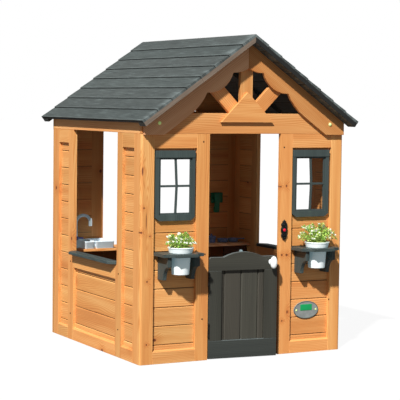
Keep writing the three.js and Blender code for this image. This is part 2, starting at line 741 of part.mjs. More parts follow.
// The leaf is drawn closed, with its own x from the hinge edge and y from its outer face.
function buildDoor() {
  const pivot = new THREE.Group();
  pivot.position.set(PIN_X, PIN_Y, 0);
  pivot.rotation.z = THREE.MathUtils.degToRad(-DOOR_AJAR_DEG);
  const leaf = new THREE.Group();
  leaf.position.set(DOOR_LEFT - PIN_X, DOOR_FACE_Y - PIN_Y, 0);
  pivot.add(leaf);
  playhouse.add(pivot);

  const inner = [FRONT_STILE, DOOR_W - FRONT_STILE];
  const opening = rectangle(inner, [DOOR_RAIL_BOTTOM, DOOR_RAIL_TOP]);
  const seams = [DOOR_RAIL_BOTTOM, DOOR_RAIL_TOP].map((z) => doorSeam(z, [-1, DOOR_W + 1]));
  const frame = cut(prismY(doorOutline(), [0, WALL_T], [opening]), ...seams);
  add('door_frame', frame, doorStain(), leaf);
  add('door_planks', doorPlanks(), doorStain(), leaf);

  const neck = lathe([[0, GAP], [12.5, GAP], [12.5, 4], [8, 7], [7.5, 18], [0, 18]], 28).rotateX(Math.PI / 2);
  const grip = new THREE.SphereGeometry(1, 28, 18).scale(...KNOB_GRIP);
  grip.translate(0, -KNOB_REACH, 0);
  const turned = join(neck, grip).translate(DOOR_W - FRONT_STILE / 2, 0, KNOB_Z);
  add('door_knob', turned, whitePlastic(), leaf);
}

function buildHinges() {
  const jamb = -HALF_W + FRONT_PANEL_W;
  for (const [name, z] of Object.entries(HINGE_Z)) {
    const barrel = new THREE.CylinderGeometry(PIN_R, PIN_R, HINGE_H, 16).rotateX(Math.PI / 2);
    barrel.translate(PIN_X, PIN_Y, z + HINGE_H / 2);
    const plate = box([jamb + GAP, jamb + 1.8], [PIN_Y, -HALF_D + 14], [z, z + HINGE_H]);
    add(`door_hinge_${name}`, join(barrel, plate), ironwork());
  }
}

// ---------------------------------------------------------------- doorbell and name plate

function buildDoorbell() {
  const half = [
    [0, -46], [4, -41], [9, -38], [8, -33], [13.5, -29], [15.5, -21], [12, -15], [16, -7],
    [16, 7], [12, 15], [15.5, 21], [13.5, 29], [8, 33], [9, 38], [4, 41], [0, 46],
  ];
  const mirrored = half.slice(1, -1).reverse().map(([a, b]) => [-a, b]);
  const outline = [...half, ...mirrored].map(([a, b]) => [BELL_X + a, BELL_Z + b]);
  const holeR = BELL_BUTTON_R + 0.5;
  const hole = arc(BELL_X, BELL_Z, holeR, holeR, 0, 337.5, 15);
  const plate = acrossWall('front', outline, [-GAP - BELL_PLATE_T, -GAP], [hole]);
  add('doorbell_plate', plate, blackPlastic());
  const dome = [
    [0, 3.2], [BELL_BUTTON_R, 3.2], [BELL_BUTTON_R, 9], [BELL_BUTTON_R - 1.8, 10.6], [0, 11.2],
  ];
  const button = lathe(dome, 24).rotateX(Math.PI / 2);
  add('doorbell_button', button.translate(BELL_X, -HALF_D, BELL_Z), redPlastic());
}

function buildNamePlate() {
  const outline = arc(PLATE_X, PLATE_Z, ...PLATE_HALF, 0, 352.5, 47);
  const back = RECESS - GAP;
  add('name_plate', acrossWall('front', outline, [back - PLATE_T, back]), greyPlastic());
}

// ---------------------------------------------------------------- play kitchen

function buildKitchen() {
  const inside = HALF_W - WALL_T - 2 * GAP;
  const back = HALF_D - WALL_T - GAP;
  const top = box([-inside, inside], [COUNTER_Y, back], COUNTER_Z);
  const panelY = COUNTER_Y + PANEL_SETBACK;
  const apron = box([PANEL_X, inside], [panelY, panelY + 10], [APRON_Z, COUNTER_Z[0] + 1]);
  add('counter', join(top, apron), cedar());

  const bed = COUNTER_Z[1] + GAP;
  const shell = prismZ(roundedRectangle(SINK_X, SINK_Y, 10), [bed, SINK_TOP]);
  const inner = [SINK_X, SINK_Y].map(([a, b]) => [a + 12, b - 12]);
  const basin = prismZ(roundedRectangle(inner[0], inner[1], 14), [bed + 4, SINK_TOP + 1]);
  add('sink', cut(shell, basin), greyPlastic());

  buildFaucet(bed);
  const knob = lathe([[0, 0.6], [11, 0.6], [10.5, 10], [9, 12], [0, 12]], 24).rotateX(Math.PI / 2);
  const grip = box([-2, 2], [-16, -8], [-9, 9]);
  const dial = join(knob, grip).translate(STOVE_KNOB_X, panelY, STOVE_KNOB_Z);
  add('stove_knob', dial, whitePlastic());
}

// The spout and its column turn together on the counter; the lever turns round the column.
function buildFaucet(bed) {
  const r = SPOUT_REACH / 2;
  const bendZ = SPOUT_TOP - SPOUT_R - r;
  const path = new THREE.CurvePath();
  path.add(new THREE.LineCurve3(new THREE.Vector3(0, 0, bed + 20), new THREE.Vector3(0, 0, bendZ)));
  const turn = Array.from({ length: 13 }, (_, i) => {
    const t = Math.PI - (Math.PI * i) / 12;
    return new THREE.Vector3(r + r * Math.cos(t), 0, bendZ + r * Math.sin(t));
  });
  path.add(new THREE.CatmullRomCurve3(turn));
  const drop = [bendZ, SPOUT_TIP].map((z) => new THREE.Vector3(2 * r, 0, z));
  path.add(new THREE.LineCurve3(...drop));
  const ring = arc(0, 0, SPOUT_R, SPOUT_R, 0, 337.5, 15).map(([a, b]) => new THREE.Vector2(a, b));
  const tube = new THREE.ExtrudeGeometry(new THREE.Shape(ring), { steps: 48, extrudePath: path });
  const neck = SPOUT_R - 0.1;
  const column = lathe([
    [0, bed], [13, bed], [13, bed + 4], [9.5, bed + 8], [neck, bed + 24], [neck, bed + 60],
    [0, bed + 60],
  ], 24);
  const faucet = add('faucet', join(column, tube), greyPlastic());
  faucet.position.set(FAUCET_X, FAUCET_Y, 0);

  const z = bed + LEVER_RISE;
  const bore = SPOUT_R + 0.7;
  const hub = lathe([[bore, z], [12, z], [12, z + 15], [bore, z + 15], [bore, z]], 24);
  const lever = box([10, 36], [-3.5, 3.5], [z + 4, z + 10]);
  const tap = add('tap_handle', join(hub, lever), bluePlastic());
  tap.position.set(FAUCET_X, FAUCET_Y, 0);
}

function buildPhone() {
  const wall = HALF_D - WALL_T - GAP;
  const plate = box(PHONE_X, [wall - 12, wall], PHONE_Z);
  const prongs = [HANDSET_X[0] - 5.6, HANDSET_X[1] + 0.6].map((x) => (
    box([x, x + 5], [wall - 24, wall - 11], [PHONE_Z[0] + 2, PHONE_Z[0] + 18])
  ));
  add('phone_cradle', join(plate, ...prongs), greenPlastic());

  const front = wall - 12 - GAP;
  const [low, high] = HANDSET_Z;
  const profile = [
    [front, high - 2], [front - 17, high], [front - 21, high - 10], [front - 21, low + 12],
    [front - 17, low], [front - 2, low + 2], [front - 2, low + 26], [front - 11, low + 34],
    [front - 11, high - 32], [front, high - 26],
  ];
  add('phone_handset', prismX(profile, HANDSET_X), greenPlastic());
}

buildFrontWall();
buildLeftWall();
buildRightWall();
buildBackWall();
buildSills();
buildHeaders();
buildFrontGable();
buildBackGable();
buildRoof();
buildWindow('left');
buildWindow('right');
buildPlanter('left', -1, 70, 42.5);
buildPlanter('right', 1, 100, 54);
buildDoor();
buildHinges();
buildDoorbell();
buildNamePlate();
buildKitchen();
buildPhone();

export default playhouse;
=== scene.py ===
"""Looks for the wooden playhouse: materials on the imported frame, soft edges, plants, cookware and trim.

Metres, +Z up, and the front wall faces -Y. Shapes that are made here are drawn in millimetres.
"""
import math
import random

import bpy
from mathutils import Matrix, Vector


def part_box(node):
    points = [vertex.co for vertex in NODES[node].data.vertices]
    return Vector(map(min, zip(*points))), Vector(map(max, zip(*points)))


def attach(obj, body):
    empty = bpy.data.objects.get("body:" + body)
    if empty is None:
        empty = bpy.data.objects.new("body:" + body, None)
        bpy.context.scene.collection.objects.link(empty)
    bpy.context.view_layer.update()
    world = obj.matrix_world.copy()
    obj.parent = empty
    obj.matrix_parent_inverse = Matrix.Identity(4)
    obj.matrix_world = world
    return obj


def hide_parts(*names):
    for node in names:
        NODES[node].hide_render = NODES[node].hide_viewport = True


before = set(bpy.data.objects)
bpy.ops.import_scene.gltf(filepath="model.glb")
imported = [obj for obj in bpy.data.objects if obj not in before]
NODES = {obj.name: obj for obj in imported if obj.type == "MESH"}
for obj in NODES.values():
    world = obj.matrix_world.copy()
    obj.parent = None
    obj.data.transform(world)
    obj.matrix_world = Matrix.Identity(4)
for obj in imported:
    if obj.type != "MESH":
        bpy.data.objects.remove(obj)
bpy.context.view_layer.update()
MM = 0.001

# ---- sizes, most of them shared with the frame

MIDDLE_Y = (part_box("left_header")[0].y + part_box("left_header")[1].y) / 2
FRONT_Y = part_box("front_left_frame")[0].y
RIDGE_Z = 1.387
ROOF_RUN = 527.4
ROOF_RISE = 1387 - 1019.1
SLOPE = math.atan2(ROOF_RISE, ROOF_RUN)
SLAT = math.hypot(ROOF_RUN, ROOF_RISE) / 8 * MM
BOARD = 78.5 * MM
FIRST_JOINT = 80 * MM
STILE = 60 * MM
SIDE_STILE = 50 * MM
BASE_STILE = 12 * MM
ROOF_END = 549.4 * MM
SLAT_THICK = 13 * MM
KNOT_CELLS = 6.5
DOOR_TURN = math.radians(-6)
DOOR_W = 320 * MM
DOOR_CORNER = Vector((-171, 2.0, 0)) * MM + Vector((0, FRONT_Y, 0))
PIN = Vector((-173, -3.5, 0)) * MM + Vector((0, FRONT_Y, 0))
DOOR_RAIL_TOP = 80 * MM
DOOR_HEAD_FOOT = 380 * MM
SIDING_TOP = 903 * MM
BASE_TOP = 335 * MM
BOTTOM_RAIL = 58 * MM
UNDER_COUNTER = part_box("counter")[1].z - 13 * MM
KNOB_GRIP = Vector((15.5, 14, 26.5)) * MM
KNOB_REACH = 27 * MM
SPOUT_R = 7

LENS = 129.54
CAMERA_ANGLES = (28.065, 3.914, 0.737)
CAMERA_PLACE = Vector((-3.065, MIDDLE_Y - 5.8144, 1.0985))
SUN_FROM = Vector((1.05, 1.0, -1.41))

# ---- camera, lights and floor


def placed(name, data):
    made = bpy.data.objects.new(name, data)
    bpy.context.scene.collection.objects.link(made)
    return made


def look_camera():
    data = bpy.data.cameras.new("camera")
    data.lens = LENS
    data.sensor_width = 36
    camera = placed("camera", data)
    yaw, pitch, roll = (math.radians(v) for v in CAMERA_ANGLES)
    forward = Vector((math.sin(yaw) * math.cos(pitch), math.cos(yaw) * math.cos(pitch), -math.sin(pitch)))
    right = Vector((math.cos(yaw), -math.sin(yaw), 0))
    up = right.cross(forward)
    tilted_right = right * math.cos(roll) + up * math.sin(roll)
    tilted_up = up * math.cos(roll) - right * math.sin(roll)
    turn = Matrix((tilted_right, tilted_up, -forward)).transposed()
    camera.matrix_world = Matrix.Translation(CAMERA_PLACE) @ turn.to_4x4()
    bpy.context.scene.camera = camera


def studio():
    sun = bpy.data.lights.new("key", "SUN")
    sun.energy = 5.4
    sun.angle = math.radians(2.2)
    sun.color = (1.0, 0.97, 0.92)
    placed("key", sun).rotation_euler = SUN_FROM.to_track_quat("-Z", "Y").to_euler()

    world = bpy.data.worlds.new("studio")
    bpy.context.scene.world = world
    sky = Tree(world)
    shown = sky.shader("Background", Color=(1, 1, 1, 1))
    fill = sky.shader("Background", Color=(0.97, 0.98, 1.0, 1), Strength=0.22)
    sky.node("OutputWorld", {"Surface": sky.by_ray(fill, shown)})
    bpy.context.scene.view_settings.view_transform = "Standard"


def floor():
    """White paper that takes a faint shadow, and that throws little light back."""
    mesh = bpy.data.meshes.new("floor")
    reach = 60
    corners = [(x * reach, y * reach, -0.5 * MM) for x, y in ((-1, -1), (1, -1), (1, 1), (-1, 1))]
    mesh.from_pydata(corners, [], [(0, 1, 2, 3)])
    paper = bpy.data.materials.new("floor_paper")
    sheet = Tree(paper)
    glow = sheet.shader("Emission", Color=(1, 1, 1, 1), Strength=0.93)
    pale = sheet.shader("BsdfDiffuse", Color=(0.07, 0.07, 0.072, 1))
    dim = sheet.shader("BsdfDiffuse", Color=(0.15, 0.15, 0.15, 1))
    seen = sheet.node("AddShader", {0: glow, 1: pale}).outputs[0]
    sheet.node("OutputMaterial", {"Surface": sheet.by_ray(dim, seen)})
    mesh.materials.append(paper)
    placed("floor", mesh)


# ---- material graphs


def linear(*rgb):
    """An 8-bit sRGB colour as linear light with alpha."""
    parts = [v / 255 for v in rgb]
    lit = [p / 12.92 if p <= 0.04045 else ((p + 0.055) / 1.055) ** 2.4 for p in parts]
    return (*lit, 1)


def shades(*colours):
    return [linear(*colour) for colour in colours]


class Tree:
    """A small wrapper that fills one node tree."""

    def __init__(self, owner):
        owner.use_nodes = True
        self.tree = owner.node_tree
        self.tree.nodes.clear()
        self._place = None

    def feed(self, socket, value):
        if isinstance(value, bpy.types.NodeSocket):
            self.tree.links.new(value, socket)
        else:
            socket.default_value = value

    def node(self, kind, inputs=None, **settings):
        made = self.tree.nodes.new(f"ShaderNode{kind}")
        for key, value in settings.items():
            setattr(made, key, value)
        for key, value in (inputs or {}).items():
            self.feed(made.inputs[key], value)
        return made

    def maths(self, operation, *values):
        return self.node("Math", dict(enumerate(values)), operation=operation).outputs[0]

    def add(self, *values):
        total = values[0]
        for value in values[1:]:
            total = self.maths("ADD", total, value)
        return total

    def times(self, a, b):
        return self.maths("MULTIPLY", a, b)

    def minus(self, a, b):
        return self.maths("SUBTRACT", a, b)

    def over(self, a, b):
        return self.maths("DIVIDE", a, b)

    def more(self, a, b):
        """1 where a is greater than b, and 0 elsewhere."""
        return self.maths("GREATER_THAN", a, b)

    def less(self, a, b):
        return self.maths("LESS_THAN", a, b)

    def place(self):
        """The x, y and z of the point, in metres, fixed to the piece."""
        if self._place is None:
            where = self.node("TexCoord").outputs["Object"]
            self._place = self.node("SeparateXYZ", {0: where}).outputs
        return self._place

    def vector(self, x, y, z):
        return self.node("CombineXYZ", {0: x, 1: y, 2: z}).outputs[0]

    def scaled(self, vector, scale):
        return self.node("VectorMath", {0: vector, 1: scale}, operation="MULTIPLY").outputs[0]

    def noise(self, vector, scale=1.0, detail=2.0, rough=0.55):
        inputs = {"Vector": vector, "Scale": scale, "Detail": detail, "Roughness": rough}
        return self.node("TexNoise", inputs).outputs[0]

    def ease(self, value, low, high, start=0.0, end=1.0):
        """value mapped smoothly from low..high to start..end."""
        inputs = {"Value": value, "From Min": low, "From Max": high, "To Min": start, "To Max": end}
        return self.node("MapRange", inputs, interpolation_type="SMOOTHSTEP").outputs[0]

    def ramp(self, value, stops):
        made = self.node("ValToRGB", {0: value})
        band = made.color_ramp
        while len(band.elements) < len(stops):
            band.elements.new(1.0)
        for element, (at, colour) in zip(band.elements, stops):
            element.position = at
            element.color = colour
        return made.outputs[0]

    def mix(self, fac, a, b, mode="MIX"):
        inputs = {0: fac, 6: a, 7: b}
        return self.node("Mix", inputs, data_type="RGBA", blend_type=mode).outputs[2]

    def multiplied(self, a, b):
        """The colour a with each channel multiplied by that of b."""
        return self.mix(1.0, a, b, "MULTIPLY")

    def choose(self, fac, a, b):
        """The number a where fac is 0 and b where it is 1."""
        return self.node("Mix", {0: fac, 2: a, 3: b}, data_type="FLOAT").outputs[0]

    def by_ray(self, others, camera):
        """One shader for the rays from the camera, and another for all the rest."""
        ray = self.node("LightPath").outputs["Is Camera Ray"]
        return self.node("MixShader", {0: ray, 1: others, 2: camera}).outputs[0]

    def shader(self, kind, **inputs):
        return self.node(kind, inputs).outputs[0]


class Graph(Tree):
    """The node tree of one material."""

    def __init__(self, name, roughness=0.6, metallic=0.0):
        self.mat = bpy.data.materials.new(name)
        super().__init__(self.mat)
        self.bsdf = self.node("BsdfPrincipled", {"Roughness": roughness, "Metallic": metallic})
        self.node("OutputMaterial", {"Surface": self.bsdf.outputs[0]})

    def colour(self, value):
        self.feed(self.bsdf.inputs["Base Color"], value)

    def roughness(self, value, low, high, smooth, rough):
        self.feed(self.bsdf.inputs["Roughness"], self.ease(value, low, high, smooth, rough))

    # Painted glow: an emission that brightens a surface as if lit, though it is no lamp.
    def paint_glow(self, tint, strength):
        self.feed(self.bsdf.inputs["Emission Color"], tint)
        self.feed(self.bsdf.inputs["Emission Strength"], strength)

    def bump(self, height, distance):
        made = self.node("Bump", {"Height": height, "Distance": distance})
        self.feed(self.bsdf.inputs["Normal"], made.outputs[0])


# ---- where the grain runs

# Each of these makes a function that takes a graph and gives (along, across, depth, board): three
# lengths in metres and a whole number that differs from board to board.


def grain_along(axes):
    """axes names, in order, the axes along the grain, across it and into the board."""
    def run(g):
        lengths = dict(zip("xyz", g.place()))
        along, across, depth = (lengths[axis] for axis in axes)
        return along, across, depth, 0.0
    return run


def grain_tilted(angle):
    """Along a board that leans in the wall's plane, angle radians above +X."""
    def run(g):
        x, y, z = g.place()
        along = g.add(g.times(x, math.cos(angle)), g.times(z, math.sin(angle)))
        across = g.add(g.times(x, -math.sin(angle)), g.times(z, math.cos(angle)))
        return along, across, y, 0.0
    return run


def siding_row(g, z):
    """How many siding boards lie below z, whole boards and part."""
    return g.over(g.minus(z, FIRST_JOINT), BOARD)


def siding_grain(axis):
    def run(g):
        x, y, z = g.place()
        along, depth = (x, y) if axis == "x" else (y, x)
        return along, z, depth, g.maths("FLOOR", siding_row(g, z))
    return run


def framed_grain(axis, low, high, stile, middle_z, siding_top=None):
    """Upright in the two stiles, level in the rails and in the siding between them."""
    def run(g):
        x, y, z = g.place()
        level, depth = (x, y) if axis == "x" else (y, x)
        centre, half = (low + high) / 2, (high - low) / 2
        off = g.minus(level, centre)
        upright = g.more(g.maths("ABSOLUTE", off), half - stile)
        side = g.more(off, 0.0)
        upper = g.more(z, middle_z)
        rail = g.add(2.0, upper)
        if siding_top:
            row = g.maths("FLOOR", siding_row(g, z))
            there = g.times(g.more(z, BOTTOM_RAIL), g.less(z, siding_top))
            rail = g.choose(there, rail, g.add(row, 6.0))
        board = g.choose(upright, rail, side)
        return g.choose(upright, level, z), g.choose(upright, z, level), depth, board
    return run


def slope_place(g):
    """How far down the slope a point of the roof is, and how far under the slope's plane."""
    x, _, z = g.place()
    out, drop = g.maths("ABSOLUTE", x), g.minus(RIDGE_Z, z)
    down = g.add(g.times(out, math.cos(SLOPE)), g.times(drop, math.sin(SLOPE)))
    under = g.minus(g.times(drop, math.cos(SLOPE)), g.times(out, math.sin(SLOPE)))
    return down, under


def slat_grain(g):
    """Along the roof boards, with one board number for each step down the slope."""
    x, y, _ = g.place()
    down, under = slope_place(g)
    row = g.maths("FLOOR", g.over(down, SLAT))
    side = g.times(g.more(x, 0.0), 20.0)
    return y, down, under, g.add(row, side)


def roof_finish(fascia):
    """Pale worn lower edges on the slats, a painted shadow line under the lip of each slat, and the fascia
    colour on the rafters' gable ends.
    """
    def paint(g, colour, along, across, depth):
        down, under = slope_place(g)
        step = g.maths("FRACT", g.over(down, SLAT))
        worn = g.times(g.ease(step, 0.86, 1.0), g.noise(g.vector(along, down, under), 60.0, 3.0))
        colour = g.mix(g.times(worn, 0.55), colour, linear(128, 138, 138))
        lower = g.ease(down, 0.35, 0.62, 0.0, 0.13)
        colour = g.mix(lower, colour, linear(20, 24, 24))
        brush = g.noise(g.vector(g.times(along, 9.0), g.times(down, 420.0), 0.0), 1.0, 4.0, 0.7)
        dry = g.ease(g.noise(g.vector(g.times(along, 7.0), g.times(down, 24.0), 3.0), 1.0, 3.0), 0.42, 0.66)
        bleached = g.times(g.ease(brush, 0.5, 0.62), g.add(g.times(dry, 0.42), 0.2))
        colour = g.mix(bleached, colour, linear(118, 132, 134))
        colour = g.mix(g.times(g.ease(brush, 0.5, 0.38), 0.6), colour, linear(40, 50, 52))
        near_end = g.ease(along, MIDDLE_Y - ROOF_END + 70 * MM, MIDDLE_Y - ROOF_END)
        colour = g.mix(g.times(near_end, g.times(dry, 0.5)), colour, linear(126, 138, 140))
        # painted shadow: a dark line at the top of each slat, where the slat above overhangs it
        colour = g.mix(g.ease(step, 0.06, 0.025), colour, linear(14, 19, 20))
        end = g.more(g.maths("ABSOLUTE", g.minus(along, MIDDLE_Y)), ROOF_END - 1.2 * MM)
        rafter = g.times(end, g.more(under, SLAT_THICK - 1.5 * MM))
        tint = g.ramp(g.noise(g.vector(g.times(down, 8.0), g.times(under, 120.0), 0.0), 1.0, 3.0),
                      [(0.3, fascia[0]), (0.7, fascia[1])])
        return g.mix(rafter, colour, tint)
    return paint


def door_grain(kind):
    """The door's own frame of reference, before it was set ajar."""
    def run(g):
        x, y, z = g.place()
        dx = g.minus(x, PIN.x)
        dy = g.minus(y, PIN.y)
        cos, sin = math.cos(-DOOR_TURN), math.sin(-DOOR_TURN)
        own = g.add(g.minus(g.times(dx, cos), g.times(dy, sin)), PIN.x - DOOR_CORNER.x)
        depth = g.add(g.times(dx, sin), g.times(dy, cos))
        if kind == "planks":
            first = STILE + 17 * MM
            board = g.maths("FLOOR", g.over(g.minus(own, first), BOARD))
            return z, own, depth, board
        low = g.less(z, DOOR_RAIL_TOP)
        high = g.more(z, DOOR_HEAD_FOOT)
        rail = g.maths("MAXIMUM", low, high)
        side = g.more(own, DOOR_W / 2)
        board = g.choose(rail, side, g.add(3.0, g.times(low, 2.0)))
        return g.choose(rail, z, own), g.choose(rail, own, z), depth, board
    return run


# ---- woods


# The light, middle and dark of each wood, and its knots.
CEDAR = shades((239, 184, 118), (224, 158, 90), (198, 120, 61), (98, 42, 22))
# The next two are lighter copies of the cedar, painted light: the first lifts the left barge board in the
# roof's shadow, the second the left header in the shade under the eave.
PAINTED_FILL_CEDAR = shades((250, 198, 150), (238, 176, 126), (210, 136, 88), (112, 58, 36))
PAINTED_BOUNCE_CEDAR = shades((246, 190, 128), (233, 166, 102), (206, 128, 70), (104, 48, 26))
DEEP_CEDAR = shades((226, 170, 106), (210, 144, 78), (184, 108, 50), (92, 40, 20))
STAIN = shades((74, 88, 88), (62, 76, 76), (46, 57, 58), (35, 41, 42))
ROOF = shades((76, 84, 84), (68, 76, 76), (58, 65, 65), (44, 48, 48))
PLANKS = shades((74, 73, 65), (66, 65, 58), (54, 53, 48), (40, 38, 34))
RAILS = shades((63, 64, 57), (56, 57, 51), (46, 47, 42), (36, 35, 32))


def wood(node, grain, seed, width, angle=80, palette=CEDAR, knots=0.5, rough=(0.5, 0.68), bump=0.0003,
         tone=0.13, marks=(), finish=None):
    """Dresses a node in stained softwood: growth rings, streaks, fibres, knots and a tone for each board.

    marks are knots at named places: (along, across, radius, stretch along the grain). finish may repaint
    the colour before it reaches the shader. width and angle are for the soft edges."""
    light, middle, dark, knot = palette
    g = Graph(f"{node}_wood")
    along, across, depth, board = grain(g)
    own = g.node("TexWhiteNoise", {"W": g.add(board, seed)}, noise_dimensions="1D")
    pick = own.outputs["Value"]
    shift = g.times(pick, 5.0)
    at = g.vector(g.add(along, shift), g.add(across, g.times(pick, 0.9)), g.add(depth, shift))

    near, heart = 0.0, 0.0
    if knots:
        spread = g.scaled(at, (KNOT_CELLS * 0.8, KNOT_CELLS, 0.0))
        cells = g.node("TexVoronoi", {"Vector": spread, "Scale": 1.0}, voronoi_dimensions="2D")
        chance = g.node("SeparateColor", {0: cells.outputs["Color"]}).outputs[0]
        there = g.more(chance, 1.0 - knots * 0.4)
        away = cells.outputs["Distance"]
        near = g.times(g.ease(away, 0.30, 0.0), there)
        heart = g.times(g.ease(away, 0.055, 0.026), there)
    for mark_along, mark_across, radius, stretch in marks:
        u = g.times(g.minus(along, mark_along), 1.0 / stretch)
        v = g.minus(across, mark_across)
        away = g.maths("SQRT", g.add(g.times(u, u), g.times(v, v)))
        near = g.maths("MAXIMUM", near, g.ease(away, radius * 5, 0.0))
        heart = g.maths("MAXIMUM", heart, g.ease(away, radius, radius * 0.45))

    sway = g.noise(g.scaled(at, (1.5, 7.0, 7.0)))
    phase = g.add(g.times(across, 150.0), g.times(sway, 11.0), g.times(near, 3.0), g.times(depth, 60.0))
    ring = g.add(g.times(g.maths("SINE", g.times(phase, 2 * math.pi)), 0.5), 0.5)
    ring = g.times(ring, ring)
    soft = g.noise(g.scaled(at, (2.0, 34.0, 34.0)))
    fibre = g.noise(g.scaled(at, (9.0, 520.0, 520.0)))
    streak = g.noise(g.scaled(at, (1.1, 15.0, 15.0)), detail=1.0)
    value = g.add(g.times(ring, 0.20), g.times(soft, 0.40), g.times(fibre, 0.20), g.times(streak, 0.42))
    value = g.add(value, g.times(near, 0.16), -0.10)
    colour = g.ramp(value, [(0.30, light), (0.50, middle), (0.80, dark)])
    shade = g.choose(pick, 1.0 - tone, 1.0 + tone * 0.6)
    red = g.choose(g.maths("FRACT", g.times(pick, 7.3)), 1.0 + tone * 0.15, 1.0 - tone * 0.65)
    colour = g.multiplied(colour, g.vector(shade, g.times(shade, red), g.times(shade, red)))
    colour = g.mix(g.times(heart, 0.92), colour, knot)
    if finish:
        colour = finish(g, colour, along, across, depth)
    g.colour(colour)
    g.roughness(g.add(g.times(fibre, 0.7), g.times(ring, 0.3)), 0.2, 0.8, *rough)
    g.bump(g.add(g.times(fibre, 0.7), g.times(ring, 0.25), g.times(heart, -0.8)), bump)
    dress(node, g.mat, width, angle)


def joints_between(axis=None, low=0.0, high=0.0, top=SIDING_TOP, strength=1.0):
    """A darker colour in the slots between the siding boards, only from low to high along axis."""
    def paint(g, colour, along, across, depth):
        x, y, z = g.place()
        slot = g.maths("FRACT", siding_row(g, z))
        below = g.more(slot, 1 - 2.6 * MM / BOARD)
        above = g.less(slot, 0.6 * MM / BOARD)
        there = g.times(g.more(z, 70 * MM), g.less(z, top))
        if axis:
            level = {"x": x, "y": y}[axis]
            there = g.times(there, g.more(level, low))
            there = g.times(there, g.less(level, high))
        there = g.times(there, strength)
        return g.mix(g.times(g.maths("MAXIMUM", below, above), there), colour, linear(70, 42, 24))
    return paint


def painted_shade_below(paint, inside, under):
    """paint, and below the counter the wall's inner face is painted much darker:
    a painted shade for the deep shade under the counter.
    """
    def finish(g, colour, along, across, depth):
        colour = paint(g, colour, along, across, depth)
        _, y, z = g.place()
        there = g.times(g.less(y, inside), g.less(z, under))
        return g.mix(there, colour, g.multiplied(colour, (0.32, 0.36, 0.42, 1)))
    return finish


# ---- plastics and metals


# The colour of the plastics' painted glow.
GLOW_TINT = linear(200, 232, 240)


def plastic(name, rgb, roughness=0.35, mottle=0.05, glow=0.0, tint=GLOW_TINT):
    """Moulded plastic with a faint uneven sheen and a fine surface texture. glow and tint are a painted
    glow:
    an emission in the tint colour that brightens the pale plastic, most of all where it lies in shade."""
    g = Graph(name, roughness)
    g.paint_glow(tint, glow)
    at = g.vector(*g.place())
    lighter = [min(1.0, v * (1 + mottle)) for v in linear(*rgb)]
    darker = [v * (1 - mottle) for v in linear(*rgb)[:3]] + [1]
    g.colour(g.ramp(g.noise(at, 38.0), [(0.35, darker), (0.65, lighter)]))
    g.roughness(g.noise(at, 120.0), 0.3, 0.7, roughness - 0.05, roughness + 0.08)
    g.bump(g.noise(at, 900.0), 0.00012)
    return g.mat


def iron(name, rgb, roughness=0.45, metallic=0.7):
    """Cast and painted metal with a hammered skin."""
    g = Graph(name, roughness, metallic)
    at = g.vector(*g.place())
    worn = g.noise(at, 160.0, 4.0)
    bright = [min(1.0, v * 1.9 + 0.02) for v in linear(*rgb)]
    g.colour(g.ramp(worn, [(0.45, linear(*rgb)), (0.72, bright)]))
    g.roughness(worn, 0.3, 0.7, roughness - 0.08, roughness + 0.12)
    g.bump(g.noise(at, 420.0, 3.0), 0.0004)
    return g.mat


# ---- pieces

FRONT = Vector((0, -1, 0))
RIGHT = Vector((1, 0, 0))
UP = Vector((0, 0, 1))
ON_FRONT = (RIGHT, UP, FRONT)
ON_TOP = (RIGHT, -FRONT, UP)


def spot(node, x=0.5, y=0.5, z=0.5):
    """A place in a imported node's box. Each number goes from 0 at the low side to 1 at the high side."""
    low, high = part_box(node)
    return Vector([a + (b - a) * part for a, b, part in zip(low, high, (x, y, z))])


def extent(node):
    """Width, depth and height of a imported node's box, in millimetres."""
    low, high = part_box(node)
    return [(b - a) / MM for a, b in zip(low, high)]


def piece(name, shape, material, body="house", node=None):
    """One smooth visible piece of a shape's vertices and faces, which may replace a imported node."""
    verts, faces = shape
    mesh = bpy.data.meshes.new(name)
    mesh.from_pydata([tuple(v) for v in verts], [], faces)
    mesh.materials.append(material)
    mesh.shade_smooth()
    made = placed(name, mesh)
    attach(made, body)
    if node:
        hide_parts(node)


def circle(steps):
    """The cosine and sine of evenly spaced angles round one turn."""
    angles = [2 * math.pi * i / steps for i in range(steps)]
    return [(math.cos(a), math.sin(a)) for a in angles]


def band(low, high):
    """The faces between two closed loops of as many vertices."""
    return [list(cell) for cell in zip(low, [*low[1:], low[0]], [*high[1:], high[0]], high)]


def stack(loops):
    """The faces of a stack of closed loops, capped at both ends."""
    faces = []
    for low, high in zip(loops, loops[1:]):
        faces += band(low, high)
    return [*faces, list(loops[0][::-1]), list(loops[-1])]


def turned(profile, steps, place, outward=UP):
    """Vertices and faces of a closed solid of revolution about the outward axis. The profile is (radius,
    height) pairs in millimetres that start and end on the axis."""
    turn = outward.to_track_quat("Z", "Y").to_matrix() * MM
    verts, rings = [], []
    for radius, height in profile:
        spokes = circle(steps) if radius > 1e-6 else [(1, 0)]
        rings.append(range(len(verts), len(verts) + len(spokes)))
        verts += [place + turn @ Vector((radius * c, radius * s, height)) for c, s in spokes]
    faces = []
    for low, high in zip(rings, rings[1:]):
        for i in range(steps):
            j = (i + 1) % steps
            quad = [low[i % len(low)], low[j % len(low)], high[j % len(high)], high[i % len(high)]]
            corners = list(dict.fromkeys(quad))
            if len(corners) > 2:
                faces.append(corners)
    return verts, faces


def rounded(profile, radius, steps=3):
    """The profile with each inner corner turned into a small arc, corner by corner."""
    points = [Vector(p) for p in profile]
    out = [points[0]]
    for before, corner, after in zip(points, points[1:], points[2:]):
        into, away = before - corner, after - corner
        reach = min(radius, into.length * 0.45, away.length * 0.45)
        start, end = corner + into.normalized() * reach, corner + away.normalized() * reach
        for i in range(steps + 1):
            t = i / steps
            out.append(start * (1 - t) ** 2 + corner * 2 * t * (1 - t) + end * t * t)
    out.append(points[-1])
    return [tuple(p) for p in out]


